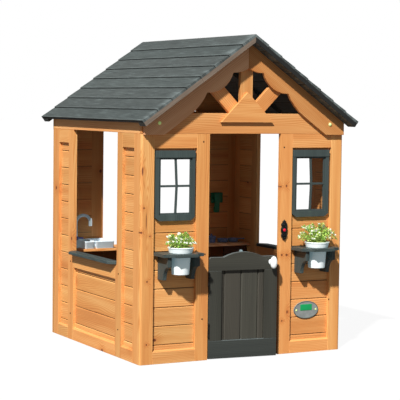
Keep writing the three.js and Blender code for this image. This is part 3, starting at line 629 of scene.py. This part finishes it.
def tube(points, radius, sides=16):
    """Vertices and faces of a round bar along points, closed at both ends. The radius is in millimetres."""
    verts, rings, side = [], [], None
    for i, point in enumerate(points):
        ahead = (points[min(i + 1, len(points) - 1)] - points[max(i - 1, 0)]).normalized()
        side = (ahead.orthogonal() if side is None else side - ahead * side.dot(ahead)).normalized()
        other = ahead.cross(side)
        rings.append(range(len(verts), len(verts) + sides))
        verts += [point + (side * c + other * s) * (radius * MM) for c, s in circle(sides)]
    return verts, stack(rings)


def joined(*parts):
    verts, faces = [], []
    for more, cells in parts:
        start = len(verts)
        verts += more
        faces += [[start + i for i in cell] for cell in cells]
    return verts, faces


def arc_points(centre, u, v, radius, start, end, steps):
    """Points on a circle in the plane of u and v, between two angles in degrees. radius is in metres."""
    angles = [math.radians(start + (end - start) * i / steps) for i in range(steps + 1)]
    return [centre + u * (radius * math.cos(a)) + v * (radius * math.sin(a)) for a in angles]


def ring(centre, u, v, radii, thick, turns, sides=8):
    """A closed round bar bent into an ellipse. Its radii and its own radius are in millimetres."""
    verts, faces = [], []
    out = u.cross(v)
    for turn_c, turn_s in circle(turns):
        spoke = u * (radii[0] * turn_c) + v * (radii[1] * turn_s)
        for c, s in circle(sides):
            skin = spoke.normalized() * (thick * c) + out * (thick * s)
            verts.append(centre + (spoke + skin) * MM)
    rings = [range(i * sides, (i + 1) * sides) for i in range(turns)]
    for low, high in zip(rings, rings[1:] + rings[:1]):
        faces += band(high, low)
    return verts, faces


def tray(centre, axes, size, corner, layers, steps=4):
    """A closed stack of rounded rectangles, capped at both ends. axes are across, along and outward, size
    is half the width and half the length, and each layer is (inset, lift), all in millimetres."""
    u, v, out = axes
    verts = []
    for inset, lift in layers:
        bend = max(corner - inset, 0.4)
        for sx, sy, start in ((1, 1, 0), (-1, 1, 90), (-1, -1, 180), (1, -1, 270)):
            for i in range(steps + 1):
                a = math.radians(start + 90 * i / steps)
                x = sx * (size[0] - inset - bend) + bend * math.cos(a)
                y = sy * (size[1] - inset - bend) + bend * math.sin(a)
                verts.append(centre + (u * x + v * y + out * lift) * MM)
    loop = len(verts) // len(layers)
    return verts, stack([range(i * loop, (i + 1) * loop) for i in range(len(layers))])


def tile(centre, axes, size, height, corner):
    """A small rounded tile with a soft top edge, its back flat on centre."""
    layers = ((0.0, 0.0), (0.0, height * 0.6), (height * 0.3, height * 0.9), (height, height))
    return tray(centre, axes, size, corner, layers)


def screw(place, outward, r=3.4):
    """A domed screw head with a round socket."""
    head = [(0, 0), (r, 0), (r, 0.5), (r * 0.8, 1.3), (r * 0.42, 1.7), (r * 0.36, 0.6), (0, 0.5)]
    return turned(head, 18, place, outward)


def soften(node, width, angle):
    """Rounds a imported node's sharp edges with modifiers, which leave its own mesh as it is."""
    target = NODES[node]
    weld = target.modifiers.new("weld", "WELD")
    weld.merge_threshold = 1e-5
    flat = target.modifiers.new("flat", "DECIMATE")
    flat.decimate_type = "DISSOLVE"
    flat.angle_limit = math.radians(1)
    edge = target.modifiers.new("edge", "BEVEL")
    edge.width = width
    edge.segments = 3
    edge.limit_method = "ANGLE"
    edge.angle_limit = math.radians(angle)
    edge.use_clamp_overlap = True


def dress(node, material, width, angle):
    NODES[node].data.materials.clear()
    NODES[node].data.materials.append(material)
    soften(node, width, angle)


# ---- the house

# Knots of the front stiles: height, x, radius and stretch along the grain.
STILE_KNOTS = {
    "front_left_frame": (
        (0.808, -0.488, 0.004, 6), (0.656, -0.480, 0.005, 1), (0.600, -0.469, 0.0026, 18),
        (0.554, -0.491, 0.006, 1), (0.538, -0.452, 0.004, 1), (0.349, -0.463, 0.005, 1),
        (0.085, -0.463, 0.004, 1),
    ),
    "front_right_frame": (
        (0.436, 0.188, 0.006, 1), (0.435, 0.213, 0.007, 1), (0.146, 0.194, 0.005, 1),
        (0.184, 0.220, 0.005, 2), (0.734, 0.178, 0.005, 1), (0.737, 0.207, 0.005, 1.5),
    ),
}


def dress_walls():
    for seed, (node, marks) in enumerate(STILE_KNOTS.items()):
        low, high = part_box(node)
        grain = framed_grain("x", low.x, high.x, STILE, 0.5)
        wood(node, grain, 3.1 + seed * 11, 0.0018, knots=0, marks=marks)
    for seed, node in enumerate(("front_left_siding", "front_right_siding")):
        wood(node, siding_grain("x"), 40.3 + seed * 17, 0.0010, knots=0.3, finish=joints_between())
    for seed, place in enumerate(("left_front", "left_rear", "left_base")):
        low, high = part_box(f"{place}_frame")
        stile, middle = (BASE_STILE, 0.2) if "base" in place else (SIDE_STILE, 0.5)
        grain = framed_grain("y", low.y, high.y, stile, middle)
        wood(f"{place}_frame", grain, 71.7 + seed * 7, 0.0018)
        wood(f"{place}_siding", siding_grain("y"), 104.9 + seed * 19, 0.0010, knots=0.2,
             finish=joints_between())
    whole = ("right_front", "right_rear", "right_base", "back_left", "back_right", "back_base")
    for seed, place in enumerate(whole):
        node = f"{place}_panel"
        low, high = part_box(node)
        axis, stile, ends = "y", SIDE_STILE, (low.y, high.y)
        if "back" in place:
            axis, stile, ends = "x", STILE, (low.x, high.x)
        middle, top = 0.5, SIDING_TOP
        if "base" in place:
            stile, middle, top = BASE_STILE, 0.2, BASE_TOP
        grain = framed_grain(axis, *ends, stile, middle, top)
        joints = joints_between(axis, ends[0] + stile, ends[1] - stile, top, 0.55)
        # On the back panels, the inner face below the counter gets a painted shade.
        if axis == "x":
            joints = painted_shade_below(joints, low.y + 3 * MM, UNDER_COUNTER)
        wood(node, grain, 150.3 + seed * 23, 0.0010, knots=0.3, finish=joints)


def dress_gables():
    along_x = grain_along("xzy")
    along_y = grain_along("yzx")
    for seed, node in enumerate(("front_header", "gable_triangle")):
        wood(node, along_x, 300.5 + seed * 9, 0.0015, 40, knots=0.4)
    # Painted light: the left header takes a lighter cedar that stands in for light bounced into the shade
    # under the eave.
    wood("left_header", along_y, 330.1, 0.0015, 40, PAINTED_BOUNCE_CEDAR)
    wood("right_header", along_y, 339.1, 0.0015, 40)
    wood("front_king_post", grain_along("zxy"), 350.7, 0.0015, 40)
    wood("back_truss", along_x, 361.9, 0.0012, 40)
    wood("back_barge", along_x, 372.3, 0.0012, 60)
    # Painted light: the left barge board takes a lighter cedar that stands in for fill light in the roof's
    # shadow.
    for seed, side, sign, palette in ((0, "left", 1, PAINTED_FILL_CEDAR), (13, "right", -1, DEEP_CEDAR)):
        wood(f"front_barge_{side}", grain_tilted(sign * SLOPE), 380.3 + seed, 0.0015, 60, palette, 0.9)
        wood(f"front_strut_{side}", grain_tilted(-sign * math.pi / 4), 400.9 + seed, 0.0015, 40)


def dress_roof():
    weathered = shades((132, 117, 105), (106, 93, 82))
    dark = shades((32, 34, 34), (22, 24, 24))
    for side, fascia in (("left", weathered), ("right", dark)):
        for row in ("upper", "lower"):
            wood(f"roof_{side}_{row}", slat_grain, 3.0, 0.0012, 50, ROOF, 0.0, (0.62, 0.8), 0.0004, 0.06,
                 finish=roof_finish(fascia))


def dress_dark_woodwork():
    stained = {"palette": STAIN, "knots": 0.0, "rough": (0.45, 0.6), "tone": 0.1}
    for seed, side in enumerate(("left", "right")):
        wood(f"{side}_sill", grain_along("yxz"), 500.5 + seed, 0.0020, 40, **stained)
        wood(f"planter_shelf_{side}", grain_along("xyz"), 510.5 + seed, 0.0015, 40, **stained)
        wood(f"window_{side}", grain_along("zxy"), 520.5 + seed, 0.0010, 40, **stained)
        for end in "ab":
            bracket = f"planter_bracket_{side}_{end}"
            wood(bracket, grain_along("zyx"), 530.5 + seed, 0.0015, 40, **stained)


def rail_tone_and_painted_highlight(g, colour, along, across, depth):
    """The door's bottom rail took the stain with a bluer tone, and its upward-facing surfaces are painted
    paler:
    a painted highlight where light from above falls on them.
    """
    z = g.place()[2]
    cool = g.multiplied(colour, (0.92, 1.04, 1.2, 1))
    colour = g.mix(g.less(z, DOOR_RAIL_TOP), colour, cool)
    # painted highlight on the faces that point up
    normal = g.node("TexCoord").outputs["Normal"]
    upward = g.node("SeparateXYZ", {0: normal}).outputs[2]
    return g.mix(g.times(g.ease(upward, 0.25, 0.8), 0.6), colour, linear(112, 122, 124))


def counter_tone_and_painted_shade(g, colour, along, across, depth):
    """The counter board is paler by the stove, and the control panel under it is painted very dark:
    a painted shade for the deep shade under the counter.
    """
    x, _, z = g.place()
    pale = g.multiplied(colour, (1.12, 1.5, 2.7, 1))
    colour = g.mix(g.ease(x, -0.1, 0.15), colour, pale)
    # painted shade below the counter's underside
    panel = g.less(z, UNDER_COUNTER)
    return g.mix(panel, colour, linear(64, 34, 18))


def dress_door():
    oiled = {"knots": 0.0, "rough": (0.48, 0.62)}
    wood("door_frame", door_grain("frame"), 2.0, 0.0015, 60, RAILS, tone=0.05, finish=rail_tone_and_painted_highlight,
         **oiled)
    wood("door_planks", door_grain("planks"), 9.0, 0.0008, 60, PLANKS, tone=0.10, bump=0.0005, **oiled)
    black = iron("hinge_iron", (34, 34, 34))
    for end in ("upper", "lower"):
        dress(f"door_hinge_{end}", black, 0.0004, 60)


# ---- pots and plants

RIM_R = 55


def make_pot(side, material):
    """A flared pot that hangs in its shelf by the step under its rim."""
    foot = spot(f"flower_pot_{side}", z=0)
    ledge = (spot(f"planter_shelf_{side}", z=1).z - foot.z) / MM + 0.3
    top = extent(f"flower_pot_{side}")[2]
    profile = [
        (0, 0), (30, 0), (32, 1.6), (34.8, 0.4), (36.5, 2.4), (42.8, ledge - 0.6), (43.4, ledge + 0.1),
        (47.4, ledge + 0.1), (48.4, ledge + 1.8), (52.6, top - 6.6), (53.2, top - 5.4), (54.4, top - 5.2),
        (RIM_R, top - 4.2), (RIM_R, top - 1.2), (54, top), (52.6, top - 0.4), (51.6, top - 2),
        (46.4, ledge + 4), (40, ledge - 1), (33.5, 3.5), (0, 3),
    ]
    piece(f"pot_{side}", turned(rounded(profile, 1.2, 2), 64, foot), material,
          f"{side}_planting", f"flower_pot_{side}")


def make_soil(side, centre, material, rng):
    """A crumbly mound that fills the pot a little below its rim."""
    mound = [(45, -3), (38, 0.5), (30, 3), (21, 4.5), (11, 5.5), (0, 6)]
    verts, faces = turned([(0, -24), (44, -24), (49.5, -6)] + mound, 28, centre)
    crumbs = [v + UP * rng.uniform(-1.2, 1.2) * MM if v.z > centre.z - 4.5 * MM else v for v in verts]
    piece(f"soil_{side}", (crumbs, faces), material, f"{side}_planting")


def leaf(base, ahead, face, length, width, droop):
    """A thin closed leaf, folded along its midrib and bent down towards the tip."""
    across = ahead.cross(face).normalized()
    spots = ((0.0, 0.0), (0.28, 0.82), (0.62, 1.0), (0.86, 0.52), (1.0, 0.0))
    middle, left, right = [], [], []
    for t, spread in spots:
        spine = base + ahead * (length * t) - face * (droop * length * t * t)
        edge = across * (width * 0.5 * spread)
        lift = face * (width * 0.16 * spread)
        middle.append(spine)
        left.append(spine - edge + lift)
        right.append(spine + edge + lift)
    thick = face * (0.25 * MM)
    verts = middle + left[1:-1] + right[1:-1] + [m - thick for m in middle[1:-1]]
    l, r, b = 5, 8, 11
    faces = []
    for side, flip in ((l, False), (r, True)):
        strips = [
            [0, side, 1], [1, side, side + 1, 2], [2, side + 1, side + 2, 3], [3, side + 2, 4],
            [0, b, side], [b, b + 1, side + 1, side], [b + 1, b + 2, side + 2, side + 1],
            [b + 2, 4, side + 2],
        ]
        faces += [cell[::-1] if flip else cell for cell in strips]
    return verts, faces


def blossom(centre, face, radius, rng):
    """Five white petals round a small heart."""
    side = face.orthogonal().normalized()
    turn = rng.uniform(0, 72)
    petals = []
    for k in range(5):
        a = math.radians(turn + 72 * k)
        ahead = (side * math.cos(a) + face.cross(side) * math.sin(a)).normalized()
        start = centre + ahead * radius * 0.12
        raised = (ahead + face * 0.22).normalized()
        petals.append(leaf(start, raised, face, radius * 0.95, radius * 0.72, 0.14))
    r = radius / MM
    heart = turned([(0, -0.4), (r * 0.2, 0), (r * 0.15, 0.8), (0, 1.2)], 8, centre, face)
    return petals, heart


def stem_curve(root, tip, rng, steps=6):
    """A stem that rises first and then leans over to its tip."""
    bend = root.lerp(tip, 0.35)
    bend.z = tip.z * 0.85 + root.z * 0.15
    bend += Vector((rng.uniform(-3, 3), rng.uniform(-3, 3), 0)) * MM
    parts = [i / steps for i in range(steps + 1)]
    return [root * (1 - t) ** 2 + bend * (2 * t * (1 - t)) + tip * t * t for t in parts]


def kept_inside(point, low, high, margin=0.0):
    return all(low[i] + margin <= point[i] <= high[i] - margin for i in range(3))


def make_plant(side, stems, materials, seed):
    """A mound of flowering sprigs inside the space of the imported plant."""
    greens, whites, hearts, barks, earth = materials
    rng = random.Random(seed)
    low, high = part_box(f"plant_{side}")
    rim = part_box(f"flower_pot_{side}")[1].z
    centre = (low + high) / 2
    centre.z = rim
    make_soil(side, centre, earth, rng)
    reach = Vector(((high.x - low.x) / 2, (high.y - low.y) / 2, high.z - rim)) - Vector((4, 4, 3)) * MM
    leaves, petals, cores, stalks = [], [], [], []
    for number in range(stems):
        a = number * 2.39996 + rng.uniform(-0.3, 0.3)
        r = math.sqrt((number + 0.5) / stems)
        rise = math.sqrt(max(0.03, 1 - r * r * 0.97)) * rng.uniform(0.55, 0.88)
        if number % 5 == 0:
            rise = min(1.0, rise * 1.35)
        tip = centre + Vector((reach.x * r * math.cos(a), reach.y * r * math.sin(a), reach.z * rise))
        root = centre + Vector((26 * r * math.cos(a), 26 * r * math.sin(a), 1)) * MM
        path = stem_curve(root, tip, rng)
        stalks.append(tube(path, 0.75, 5))
        turn = rng.uniform(0, 6.28)
        for step in range(1, len(path)):
            ahead = (path[step] - path[step - 1]).normalized()
            for _ in range(3 if step < len(path) - 1 else 5):
                turn += 2.4
                side_way = ahead.orthogonal().normalized()
                out = side_way * math.cos(turn) + ahead.cross(side_way) * math.sin(turn)
                point = (out + ahead * rng.uniform(0.3, 0.9) + UP * 0.25).normalized()
                length = rng.uniform(9, 15) * MM
                base = path[step] - ahead * rng.uniform(0, 4) * MM
                end = base + point * length
                if not kept_inside(base + point * length * 1.05, low, high) or end.z < rim + MM:
                    continue
                face = (UP + out * 0.3).cross(point).cross(point) * -1
                width = length * rng.uniform(0.48, 0.62)
                leaves.append(leaf(base, point, face.normalized(), length, width, 0.25))
        if rng.random() < 0.95 and rise > 0.2:
            for _ in range(rng.choice((1, 2, 3))):
                place = tip + Vector((rng.uniform(-8, 8), rng.uniform(-6, 6), rng.uniform(-4, 3))) * MM
                size = rng.uniform(4.4, 5.9) * MM
                if kept_inside(place, low, high, size):
                    sway = Vector((rng.uniform(-0.6, 0.6), rng.uniform(-0.4, 0.4), 0))
                    facing = (UP * 0.8 + FRONT * 0.7 + sway).normalized()
                    shape, core = blossom(place, facing, size, rng)
                    petals += shape
                    cores.append(core)
    body = f"{side}_planting"
    piece(f"leaves_{side}", joined(*leaves), greens, body, f"plant_{side}")
    piece(f"stems_{side}", joined(*stalks), barks, body)
    piece(f"petals_{side}", joined(*petals), whites, body)
    piece(f"blossom_hearts_{side}", joined(*cores), hearts, body)


def leafy(name, dark, light, roughness=0.55, painted_glow=0.0):
    """Each leaf or petal of a piece has its own tone, with a paler blotch here and there. The last argument
    is a
    painted glow: an emission in the light colour that brightens the piece as if lit from behind."""
    g = Graph(name, roughness)
    g.paint_glow(linear(*light), painted_glow)
    at = g.vector(*g.place())
    own = g.node("NewGeometry").outputs["Random Per Island"]
    blotch = g.noise(at, 220.0)
    tone = g.add(g.times(own, 0.7), g.times(blotch, 0.5), -0.1)
    g.colour(g.ramp(tone, [(0.18, linear(*dark)), (0.8, linear(*light))]))
    g.roughness(blotch, 0.3, 0.7, roughness - 0.1, roughness + 0.1)
    g.bump(g.noise(at, 900.0), 0.0002)
    return g.mat


def make_planting():
    # The last numbers below are a painted glow on leaves, petals, stems and soil.
    greens = leafy("leaf_green", (70, 154, 26), (230, 250, 144), painted_glow=0.09)
    whites = leafy("petal_white", (244, 244, 236), (253, 253, 252), painted_glow=0.12)
    hearts = leafy("blossom_heart", (190, 190, 90), (226, 214, 120))
    barks = leafy("stem_green", (140, 160, 84), (190, 204, 110), painted_glow=0.08)
    earth = leafy("mossy_soil", (88, 104, 44), (136, 156, 76), 0.9, painted_glow=0.05)
    for side, stems, seed in (("left", 50, 11), ("right", 62, 23)):
        make_pot(side, POT_WHITE)
        make_plant(side, stems, (greens, whites, hearts, barks, earth), seed)


# ---- door furniture and trim


def oval(centre, turn, radii, rows=20, steps=32):
    """A closed ellipsoid, a little squarer than a true one, turned into place."""
    pole = turn @ Vector((0, 0, radii[2]))
    verts, faces, rings = [centre - pole], [], []
    for row in range(1, rows):
        lift = -math.cos(math.pi * row / rows)
        girth = math.sin(math.pi * row / rows) ** 0.86
        rings.append(range(len(verts), len(verts) + steps))
        for c, s in circle(steps):
            spoke = Vector((radii[0] * girth * c, radii[1] * girth * s, radii[2] * lift))
            verts.append(centre + turn @ spoke)
    verts.append(centre + pole)
    for low, high in zip(rings, rings[1:]):
        faces += band(low, high)
    for i in range(steps):
        j = (i + 1) % steps
        faces.append([0, rings[0][j], rings[0][i]])
        faces.append([len(verts) - 1, rings[-1][i], rings[-1][j]])
    return verts, faces


def make_door_knob():
    """An upright oval grip on a turned neck, facing the way the ajar leaf faces."""
    turn = Matrix.Rotation(DOOR_TURN, 3, "Z")
    own = Vector((DOOR_W - STILE / 2, 0, spot("door_knob").z))
    place = PIN + turn @ (DOOR_CORNER - PIN + own)
    neck = [(0, 0.3), (12.5, 0.3), (12.5, 2.6), (10.6, 4.6), (8.4, 7), (7.6, 10), (8.4, 16), (0, 18)]
    stalk = turned(rounded(neck, 2, 3), 40, place, turn @ FRONT)
    grip = oval(place + turn @ FRONT * KNOB_REACH, turn, KNOB_GRIP)
    piece("knob", joined(stalk, grip), WHITE, "door", "door_knob")


def make_doorbell():
    """Cast scrollwork round the button: a ring, bosses that shrink up and down, and four curls."""
    face = spot("doorbell_plate", y=0)
    parts = [ring(face - FRONT * 1.2 * MM, RIGHT, UP, (10.6, 10.6), 2.0, 36)]
    for sign in (1, -1):
        for height, r in ((24, 5.2), (33.5, 3.6), (40.5, 2.4)):
            boss = [(0, -1), (r, 0), (r * 0.75, 1.4), (0, 2.0)]
            parts.append(turned(boss, 20, face + UP * sign * height * MM + FRONT * 0.4 * MM, FRONT))
        for lean in (-1, 1):
            start = face + UP * sign * 15 * MM + RIGHT * lean * 2 * MM
            bends = ((0, 0), (4.5, 0.5), (8.5, 3.5), (9.5, 8), (7, 12), (3, 14.5))
            curl = [start + RIGHT * lean * MM * x + UP * sign * MM * z for x, z in bends]
            parts.append(tube(curl, 1.3, 8))
    piece("bell_ornament", joined(*parts), BLACK)

    width, tall, _ = extent("doorbell_button")
    r = width / 2
    dome = [(0, 0), (r, 0), (r, tall * 0.55), (r * 0.9, tall * 0.8), (r * 0.5, tall * 0.97), (0, tall)]
    shape = turned(rounded(dome, 1.2, 3), 40, spot("doorbell_button", y=1), FRONT)
    piece("bell_button_dome", shape, RED, "bell_button", "doorbell_button")


def make_name_plate():
    """A blank plate: a rim, a plain green panel and two pale screws."""
    face = spot("name_plate", y=0)
    width, _, height = extent("name_plate")
    rim = ring(face, RIGHT, UP, (width / 2 - 2.2, height / 2 - 2.2), 1.6, 72)
    piece("name_plate_rim", rim, RIM_GREY)
    panel = tile(face + UP * 10.8 * MM, ON_FRONT, (30, 13.5), 1.1, 2)
    piece("name_plate_panel", panel, PANEL_GREEN)
    heads = [screw(face + RIGHT * sign * 50 * MM, FRONT, 4.6) for sign in (-1, 1)]
    piece("name_plate_screws", joined(*heads), PALE_CAP)


def make_bolts():
    """The caps over the two roof bolts, and the screws in the panels."""
    cap = rounded([(0, -0.3), (7.5, -0.3), (7.5, 1.2), (6, 3.4), (2.5, 4.6), (0, 4.8)], 1, 2)
    caps = []
    for side, x, z in (("left", -0.421, 1.008), ("right", 0.415, 1.005)):
        place = Vector((x, spot(f"front_barge_{side}", y=0).y, z))
        caps.append(turned(cap, 28, place, FRONT))
    piece("bolt_caps", joined(*caps), PALE_CAP)

    heads = []
    for x, z in ((-0.202, 0.178), (-0.192, 0.454), (0.436, 0.229), (0.192, 0.905), (-0.205, 0.93)):
        heads.append(screw(Vector((x, FRONT_Y, z)), FRONT))
    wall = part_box("left_front_frame")[0].x
    low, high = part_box("left_base_frame")
    for y in (low.y - 0.02, high.y + 0.02):
        for z in (0.12, 0.36):
            heads.append(screw(Vector((wall, y, z)), -RIGHT))
    piece("panel_screws", joined(*heads), SCREW_BLACK)


def make_hinge_pins():
    cap = rounded([(0, -0.2), (4.4, -0.2), (4.4, 1.2), (2.6, 3.0), (0, 3.4)], 0.6, 2)
    parts = []
    for end in ("lower", "upper"):
        low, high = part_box(f"door_hinge_{end}")
        for z, way in ((high.z, UP), (low.z, -UP)):
            parts.append(turned(cap, 20, Vector((PIN.x, PIN.y, z)), way))
    piece("hinge_pin_caps", joined(*parts), BLACK)


# ---- play kitchen


def make_faucet():
    """A bent tube on a flared foot, with a paler sleeve at its end."""
    foot = spot("faucet", x=0, z=0) + RIGHT * 13 * MM
    reach = 73 * MM
    end = Vector((foot.x + reach, foot.y, 508 * MM))
    bend = Vector((foot.x + reach / 2, foot.y, spot("faucet", z=1).z - SPOUT_R * MM - reach / 2))
    path = [foot + UP * 10 * MM, foot + UP * 70 * MM]
    path += arc_points(bend, RIGHT, UP, reach / 2, 180, 0, 26)
    path.append(end + UP * 2 * MM)
    base = rounded([(0, 0), (13, 0), (13, 4), (9.5, 8), (7.1, 22), (0, 22)], 2, 3)
    shape = joined(tube(path, SPOUT_R, 24), turned(base, 36, foot))
    piece("spout_tube", shape, SPOUT_GREY, "spout", "faucet")
    sleeve = [(0, 2.5), (5, 2.5), (5.4, 0), (7.6, 0), (8, 3), (7.8, 26), (7.1, 36), (0, 36)]
    piece("spout_nozzle", turned(rounded(sleeve, 1, 2), 36, end), NOZZLE_WHITE, "spout")


def make_sink():
    """A narrow draining tub and a wide basin in one moulding, with soft corners and a rolled rim."""
    foot = spot("sink", x=0, z=0)
    width, depth, tall = extent("sink")
    split = 52
    parts = []
    for start, end, deep in ((0, split - 2.2, 0.45), (split + 2.2, width, 0.12)):
        floor_at = tall * deep
        layers = (
            (2.5, 0), (1.2, 1.5), (0.6, tall - 5), (0, tall - 4.4), (0, tall - 1.2), (1.2, tall), (4, tall),
            (5.2, tall - 1.4), (6.5, floor_at + 6), (10, floor_at + 2), (18, floor_at),
        )
        centre = foot + RIGHT * (start + end) / 2 * MM
        parts.append(tray(centre, ON_TOP, ((end - start) / 2, depth / 2), 9, layers, 6))
    bridge = foot + RIGHT * split * MM + UP * 2 * MM
    parts.append(tile(bridge, ON_TOP, (8, depth / 2 - 7), tall - 5, 2))
    piece("sink_tubs", joined(*parts), GREY, node="sink")
    drain = [(0, 0), (9, 0), (9, 0.8), (7, 1.6), (5, 0.7), (0, 0.7)]
    place = foot + RIGHT * (split + width) / 2 * MM + UP * tall * 0.12 * MM
    piece("sink_drain", turned(drain, 28, place), SPOUT_GREY)


def make_stove_dial():
    """A round dial with a raised finger bar across it, on the front of the control panel."""
    place = spot("stove_knob", y=1)
    disc = rounded([(0, 0), (8.6, 0), (8.6, 2), (8, 9), (7, 10.6), (0, 11)], 1.2, 3)
    bar = tile(place + FRONT * 9 * MM, ON_FRONT, (2, 7.4), 6.5, 1.6)
    shape = joined(turned(disc, 40, place, FRONT), bar)
    piece("dial", shape, NOZZLE_WHITE, "stove_dial", "stove_knob")


def pan(centre, r, height, handle, way):
    """A small frying pan: a dish with a rolled rim and a flat handle."""
    dish = [(0, 0), (r * 0.8, 0), (r * 0.94, 2), (r, height), (r - 1.6, height + 0.6), (r * 0.88, 3.6),
            (r * 0.72, 2), (0, 2)]
    start = centre + (way * (r - 2) + UP * (height - 2)) * MM
    along = (0, 0.25, 0.5, 0.75, 1.0)
    grip = [start + (way * t * handle + UP * 4 * math.sin(t * 1.6)) * MM for t in along]
    return joined(turned(rounded(dish, 1.2, 2), 40, centre), tube(grip, 2.8, 12))


def make_cookware():
    """Two pans on ringed burners, and a lidded pot with two ears."""
    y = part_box("counter")[0].y + 75 * MM
    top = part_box("counter")[1].z
    burners = []
    for x, r, lean in ((364, 33, -0.35), (423, 31, 0.5)):
        centre = Vector((x * MM, y, top))
        for size in (r, r * 0.62, r * 0.3):
            burners.append(ring(centre + UP * 0.2 * MM, RIGHT, -FRONT, (size, size), 0.7, 40, 6))
        shape = pan(centre + UP * MM, r - 6, 17, 42, Vector((lean, -0.9, 0)).normalized())
        piece(f"pan_{x}", shape, PAN_BLUE)
    piece("burner_rings", joined(*burners), BLACK)

    r = 19.5
    body = [(0, 0), (r * 0.9, 0), (r, 2), (r, 28), (r + 1.6, 29), (r + 1.6, 31), (r * 0.9, 33),
            (r * 0.3, 35), (3, 35.5), (2.6, 38), (5, 40), (3.4, 42.4), (0, 43)]
    centre = Vector((301.5 * MM, y, top + 0.6 * MM))
    parts = [turned(rounded(body, 1.2, 2), 40, centre)]
    for way in (RIGHT, -RIGHT):
        root = centre + (way * (r - 0.5) + UP * 22) * MM
        parts.append(tube(arc_points(root, way, UP, 6 * MM, -75, 75, 8), 1.7, 10))
    piece("stew_pot", joined(*parts), PAN_BLUE)


look_camera()
studio()
floor()
dress_walls()
dress_gables()
dress_roof()
dress_dark_woodwork()
dress_door()

# The glow numbers below are a painted glow: emission that brightens these plastics, most of all the parts
# in shade, though they are no lamps.
POT_WHITE = plastic("pot_white_plastic", (246, 251, 255), 0.32, 0.03, 0.14, linear(160, 218, 232))
WHITE = plastic("white_moulding", (250, 253, 255), 0.32, 0.02, glow=0.11)
GREY = plastic("grey_moulding", (222, 234, 244), 0.38, 0.03, glow=0.09)
BLUE = plastic("blue_moulding", (30, 44, 170), 0.35, glow=0.01)
GREEN = plastic("green_moulding", (16, 124, 90), 0.4)
BLACK = iron("bell_iron", (30, 32, 34))
RED = plastic("red_button", (214, 32, 58), 0.25)
PLATE = plastic("plate_grey", (140, 146, 146), 0.45, 0.1)
RIM_GREY = plastic("plate_rim", (92, 104, 102), 0.4, 0.06)
PANEL_GREEN = plastic("plate_panel", (20, 158, 92), 0.35, 0.04)
PALE_CAP = plastic("pale_cap", (222, 242, 172), 0.35, 0.06, 0.16, linear(196, 232, 124))
SCREW_BLACK = iron("screw_black", (38, 30, 26), 0.4, 0.8)
SPOUT_GREY = plastic("spout_grey", (176, 200, 222), 0.2, 0.05, glow=0.10)
NOZZLE_WHITE = plastic("nozzle_white", (248, 252, 255), 0.25, 0.03, glow=0.35)
PAN_BLUE = plastic("pan_blue", (92, 104, 160), 0.22, 0.3, glow=0.008)

dress("tap_handle", BLUE, 0.001, 40)
dress("phone_cradle", GREEN, 0.002, 40)
dress("phone_handset", GREEN, 0.003, 40)
dress("doorbell_plate", BLACK, 0.0015, 40)
dress("name_plate", PLATE, 0.0008, 40)
wood("counter", grain_along("xyz"), 600.3, 0.0015, 40, finish=counter_tone_and_painted_shade)

make_planting()
make_door_knob()
make_doorbell()
make_name_plate()
make_bolts()
make_hinge_pins()
make_faucet()
make_sink()
make_stove_dial()
make_cookware()
